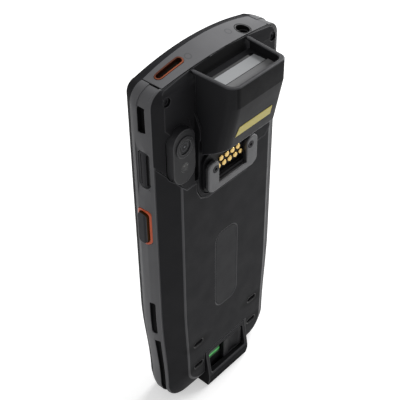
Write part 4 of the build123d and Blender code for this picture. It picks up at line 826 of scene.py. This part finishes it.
# ---- Latch ----
# The block at the lower end of the cover holds a moulded slider with a thumb hollow, which
# hooks under a metal keeper. A green mark shows beside it when the latch is shut.
LATCH_CORNER = 0.0004
LOWER_SLANT_OUT = 0.5
LOWER_SLANT_DOWN = 0.1
FLAT_OUT = 0.99
LIP_TOP_Z = 0.0065
SILL_Z = (0.006, 0.01)
BLOCK_SIDE_X = 0.0135
MARK_CORE = (0.0004, 0.0009)
back_plastic = grained_plastic("back_plastic", BACK_DARK, 0.6, gloss=0.1)
slide_plastic = grained_plastic("slide_plastic", paint(26, 26, 28), 0.5, gloss=0.1)
latch_painted_shade = grained_plastic("latch_painted_shade", paint(24, 24, 26), 0.7, gloss=0.05)
green_film = film_finish("green_film", paint(8, 78, 24))


def is_lower_slant(middle, normal, sunk):
    """The slant under the lip, out of the light."""
    return normal.y > LOWER_SLANT_OUT and normal.z < -LOWER_SLANT_DOWN


def is_lip_front(middle, normal, sunk):
    """The front of the lip below the slider's pocket."""
    return normal.y > FLAT_OUT and middle.z < LIP_TOP_Z


def is_pocket_sill(middle, normal, sunk):
    """The sill along the foot of the slider's pocket."""
    return normal.z > FACING and inside(middle.z, SILL_Z)


def is_block_side(middle, normal, sunk):
    """The two outer sides of the block."""
    return abs(normal.x) > FACING and abs(middle.x) > BLOCK_SIDE_X


def bright_core(tree, place):
    """The lighter middle of the green mark, along its length."""
    gap = distance_from(tree, place, middle_of("latch_mark"), (0.0, 0.0, 1.0))
    return spread(tree, gap, 1.0, 0.0, *MARK_CORE)


# The block's pocket, lip front and outer sides are painted darker as shade, and its lower slant
# and pocket sill near-black as shade.
stand_in(
    "latch_block", "latch_housing", back_plastic, "case", "back_dark",
    corner=LATCH_CORNER, rubbed=back_edge,
    zones=[
        (latch_painted_shade, is_sunk), (painted_shade_black, is_lower_slant), (latch_painted_shade, is_lip_front),
        (painted_shade_black, is_pocket_sill), (latch_painted_shade, is_block_side)
    ]
)
stand_in(
    "latch_slider", "latch_thumb_slide", slide_plastic, "latch_slider", "key_black",
    rubbed=key_plastic
)
stain(green_film, bright_core, paint(90, 220, 110))
stand_in("latch_mark", "shut_mark", green_film, "case", "green_mark", corner=0)


# ---- Inside ----
# Sealed parts that don't show: metal midframe, display frame, circuit board with its
# cans, battery, sound and vibration parts, cameras, switches and their flex strips.
TRACKS_PER_METRE = 420.0


def bare_metal(name, colour, rough=0.38):
    """Pressed or cast metal with a rolled grain."""
    finish, tree, shader, place = new_finish(name)
    stretch = tree.nodes.new("ShaderNodeMapping")
    stretch.inputs["Scale"].default_value = (0.08, 1.0, 1.0)
    tree.links.new(place, stretch.inputs["Vector"])
    grain = cloud(tree, stretch.outputs["Vector"], scale=2200.0, detail=4.0)
    tone = two_tone(tree, grain, shade(colour, 0.85), shade(colour, 1.1))
    tree.links.new(tone, shader.inputs["Base Color"])
    tree.links.new(spread(tree, grain, rough - 0.06, rough + 0.08), shader.inputs["Roughness"])
    shader.inputs["Metallic"].default_value = 1.0
    relief(tree, [(grain, 0.000008)], shader)
    return finish


def board_finish(name, colour):
    """Solder mask over copper tracks."""
    finish, tree, shader, place = new_finish(name)
    tracks = tree.nodes.new("ShaderNodeTexVoronoi")
    tracks.feature = "DISTANCE_TO_EDGE"
    tracks.inputs["Scale"].default_value = TRACKS_PER_METRE
    tree.links.new(place, tracks.inputs["Vector"])
    line = spread(tree, tracks.outputs["Distance"], 1.0, 0.0, 0.03, 0.07)
    tree.links.new(two_tone(tree, line, colour, shade(colour, 1.7)), shader.inputs["Base Color"])
    haze = cloud(tree, place, scale=300.0)
    tree.links.new(spread(tree, haze, 0.3, 0.42), shader.inputs["Roughness"])
    relief(tree, [(line, 0.00002)], shader)
    return finish


midframe_metal = bare_metal("midframe_metal", paint(180, 180, 184))
can_metal = bare_metal("can_metal", paint(200, 200, 200), 0.28)
inner_plastic = grained_plastic("inner_plastic", paint(36, 36, 38), 0.5)
foam = grained_plastic(
    "seal_foam", paint(30, 30, 31), 0.85, grain=1500.0, height=0.00006, gloss=0.1
)
INNER_FINISHES = (
    (midframe_metal, ("midframe", "display_frame", "latch_keeper")),
    (can_metal, ("shield_cans", "vibration_motor")),
    (inner_plastic, ("battery_case", "speaker", "earpiece")),
    (inner_plastic, ("front_camera", "camera_module", "key_switches")),
    (foam, ("front_seal",)),
    (gold_plating, ("battery_contacts",)),
    (film_finish("flash_phosphor", paint(226, 206, 92)), ("flash_led",)),
    (bare_metal("pouch_foil", paint(150, 150, 154), 0.45), ("battery_cell",)),
    (board_finish("solder_mask", paint(20, 86, 50)), ("main_board",)),
    (board_finish("amber_flex", paint(150, 88, 24)), ("key_flex",)),
)
for finish, nodes in INNER_FINISHES:
    for node in nodes:
        wear_finish(node, finish)


# ---- Floor and light ----
# A pale seamless floor, a soft white sky and two large lamps. The floor goes white for
# the camera and in reflections, and keeps the shadow.
FLOOR_SIZE = 6.0
FLOOR_LIFT = 0.45
SKY_LEVEL = 0.36
LIT_POINT = (0, 0, 0.1)
WHITE = (1.0, 1.0, 1.0, 1.0)
PAPER_TONES = ((0.78, 0.78, 0.78, 1.0), (0.82, 0.82, 0.82, 1.0))


def seen_rays(tree):
    """1 for rays that come from the camera, off a gloss or through a clear piece."""
    path = tree.nodes.new("ShaderNodeLightPath")
    seen = path.outputs["Is Camera Ray"]
    for kind in ("Is Glossy Ray", "Is Transmission Ray"):
        either = tree.nodes.new("ShaderNodeMath")
        either.operation = "MAXIMUM"
        tree.links.new(seen, either.inputs[0])
        tree.links.new(path.outputs[kind], either.inputs[1])
        seen = either.outputs["Value"]
    return seen


floor_shape = bmesh.new()
bmesh.ops.create_grid(floor_shape, x_segments=1, y_segments=1, size=FLOOR_SIZE / 2)
floor_mesh = bpy.data.meshes.new("studio_floor")
floor_shape.to_mesh(floor_mesh)
floor_shape.free()
floor = bpy.data.objects.new("studio_floor", floor_mesh)
scene.collection.objects.link(floor)
paper, tree, shader, place = new_finish("pale_paper")
fibre = cloud(tree, place, scale=40.0, detail=4.0)
tree.links.new(two_tone(tree, fibre, *PAPER_TONES), shader.inputs["Base Color"])
shader.inputs["Roughness"].default_value = 0.9
shader.inputs["Specular IOR Level"].default_value = 0.0
lift = tree.nodes.new("ShaderNodeMath")
lift.operation = "MULTIPLY"
lift.inputs[1].default_value = FLOOR_LIFT
tree.links.new(seen_rays(tree), lift.inputs[0])
shader.inputs["Emission Color"].default_value = WHITE
tree.links.new(lift.outputs["Value"], shader.inputs["Emission Strength"])
floor_mesh.materials.append(paper)

sky = bpy.data.worlds.new("studio_sky")
scene.world = sky
sky.use_nodes = True
tree = sky.node_tree
backing = tree.nodes["Background"]
backing.inputs["Color"].default_value = WHITE
level = tree.nodes.new("ShaderNodeMapRange")
level.inputs["To Min"].default_value = SKY_LEVEL
level.inputs["To Max"].default_value = 1.0
tree.links.new(seen_rays(tree), level.inputs["Value"])
tree.links.new(level.outputs["Result"], backing.inputs["Strength"])


def softbox(name, place, size, power):
    """A large square lamp that faces the terminal."""
    lamp = bpy.data.lights.new(name, "AREA")
    lamp.shape = "SQUARE"
    lamp.size = size
    lamp.energy = power
    holder = bpy.data.objects.new(name, lamp)
    holder.location = place
    holder.rotation_mode = "QUATERNION"
    holder.rotation_quaternion = (Vector(LIT_POINT) - Vector(place)).to_track_quat("-Z", "Y")
    scene.collection.objects.link(holder)


softbox("key_lamp", (-1.0, 0.0, 0.68), size=0.9, power=19.0)
softbox("fill_lamp", (0.9, -0.3, 0.9), size=0.7, power=1.5)


# ---- Camera ----
# A long lens looks down at the back and the right side from 0.4 m away, rolled by less
# than a degree.
LENS = 87.42
FILM_WIDTH = 36.0
NEAR_CLIP = 0.01
DISTANCE = 0.40474
LOOK_AT = Vector((0.0063, 0.0, 0.1051))
TURN = math.radians(132.37)
HEIGHT = math.radians(40.41)
ROLL = math.radians(-0.72)
level_way = Vector((math.sin(TURN), -math.cos(TURN), 0.0)) * math.cos(HEIGHT)
back = level_way + Vector((0.0, 0.0, math.sin(HEIGHT)))
level_right = (-back).cross(Vector((0, 0, 1))).normalized()
level_up = level_right.cross(-back)
right = level_right * math.cos(ROLL) + level_up * math.sin(ROLL)
up = level_up * math.cos(ROLL) - level_right * math.sin(ROLL)
aim = Matrix((right, up, back)).transposed().to_4x4()
camera_data = bpy.data.cameras.new("camera")
camera_data.sensor_width = FILM_WIDTH
camera_data.lens = LENS
camera_data.clip_start = NEAR_CLIP
camera = bpy.data.objects.new("camera", camera_data)
camera.matrix_world = Matrix.Translation(LOOK_AT + back * DISTANCE) @ aim
scene.collection.objects.link(camera)
scene.camera = camera
scene.view_settings.view_transform = "Standard"
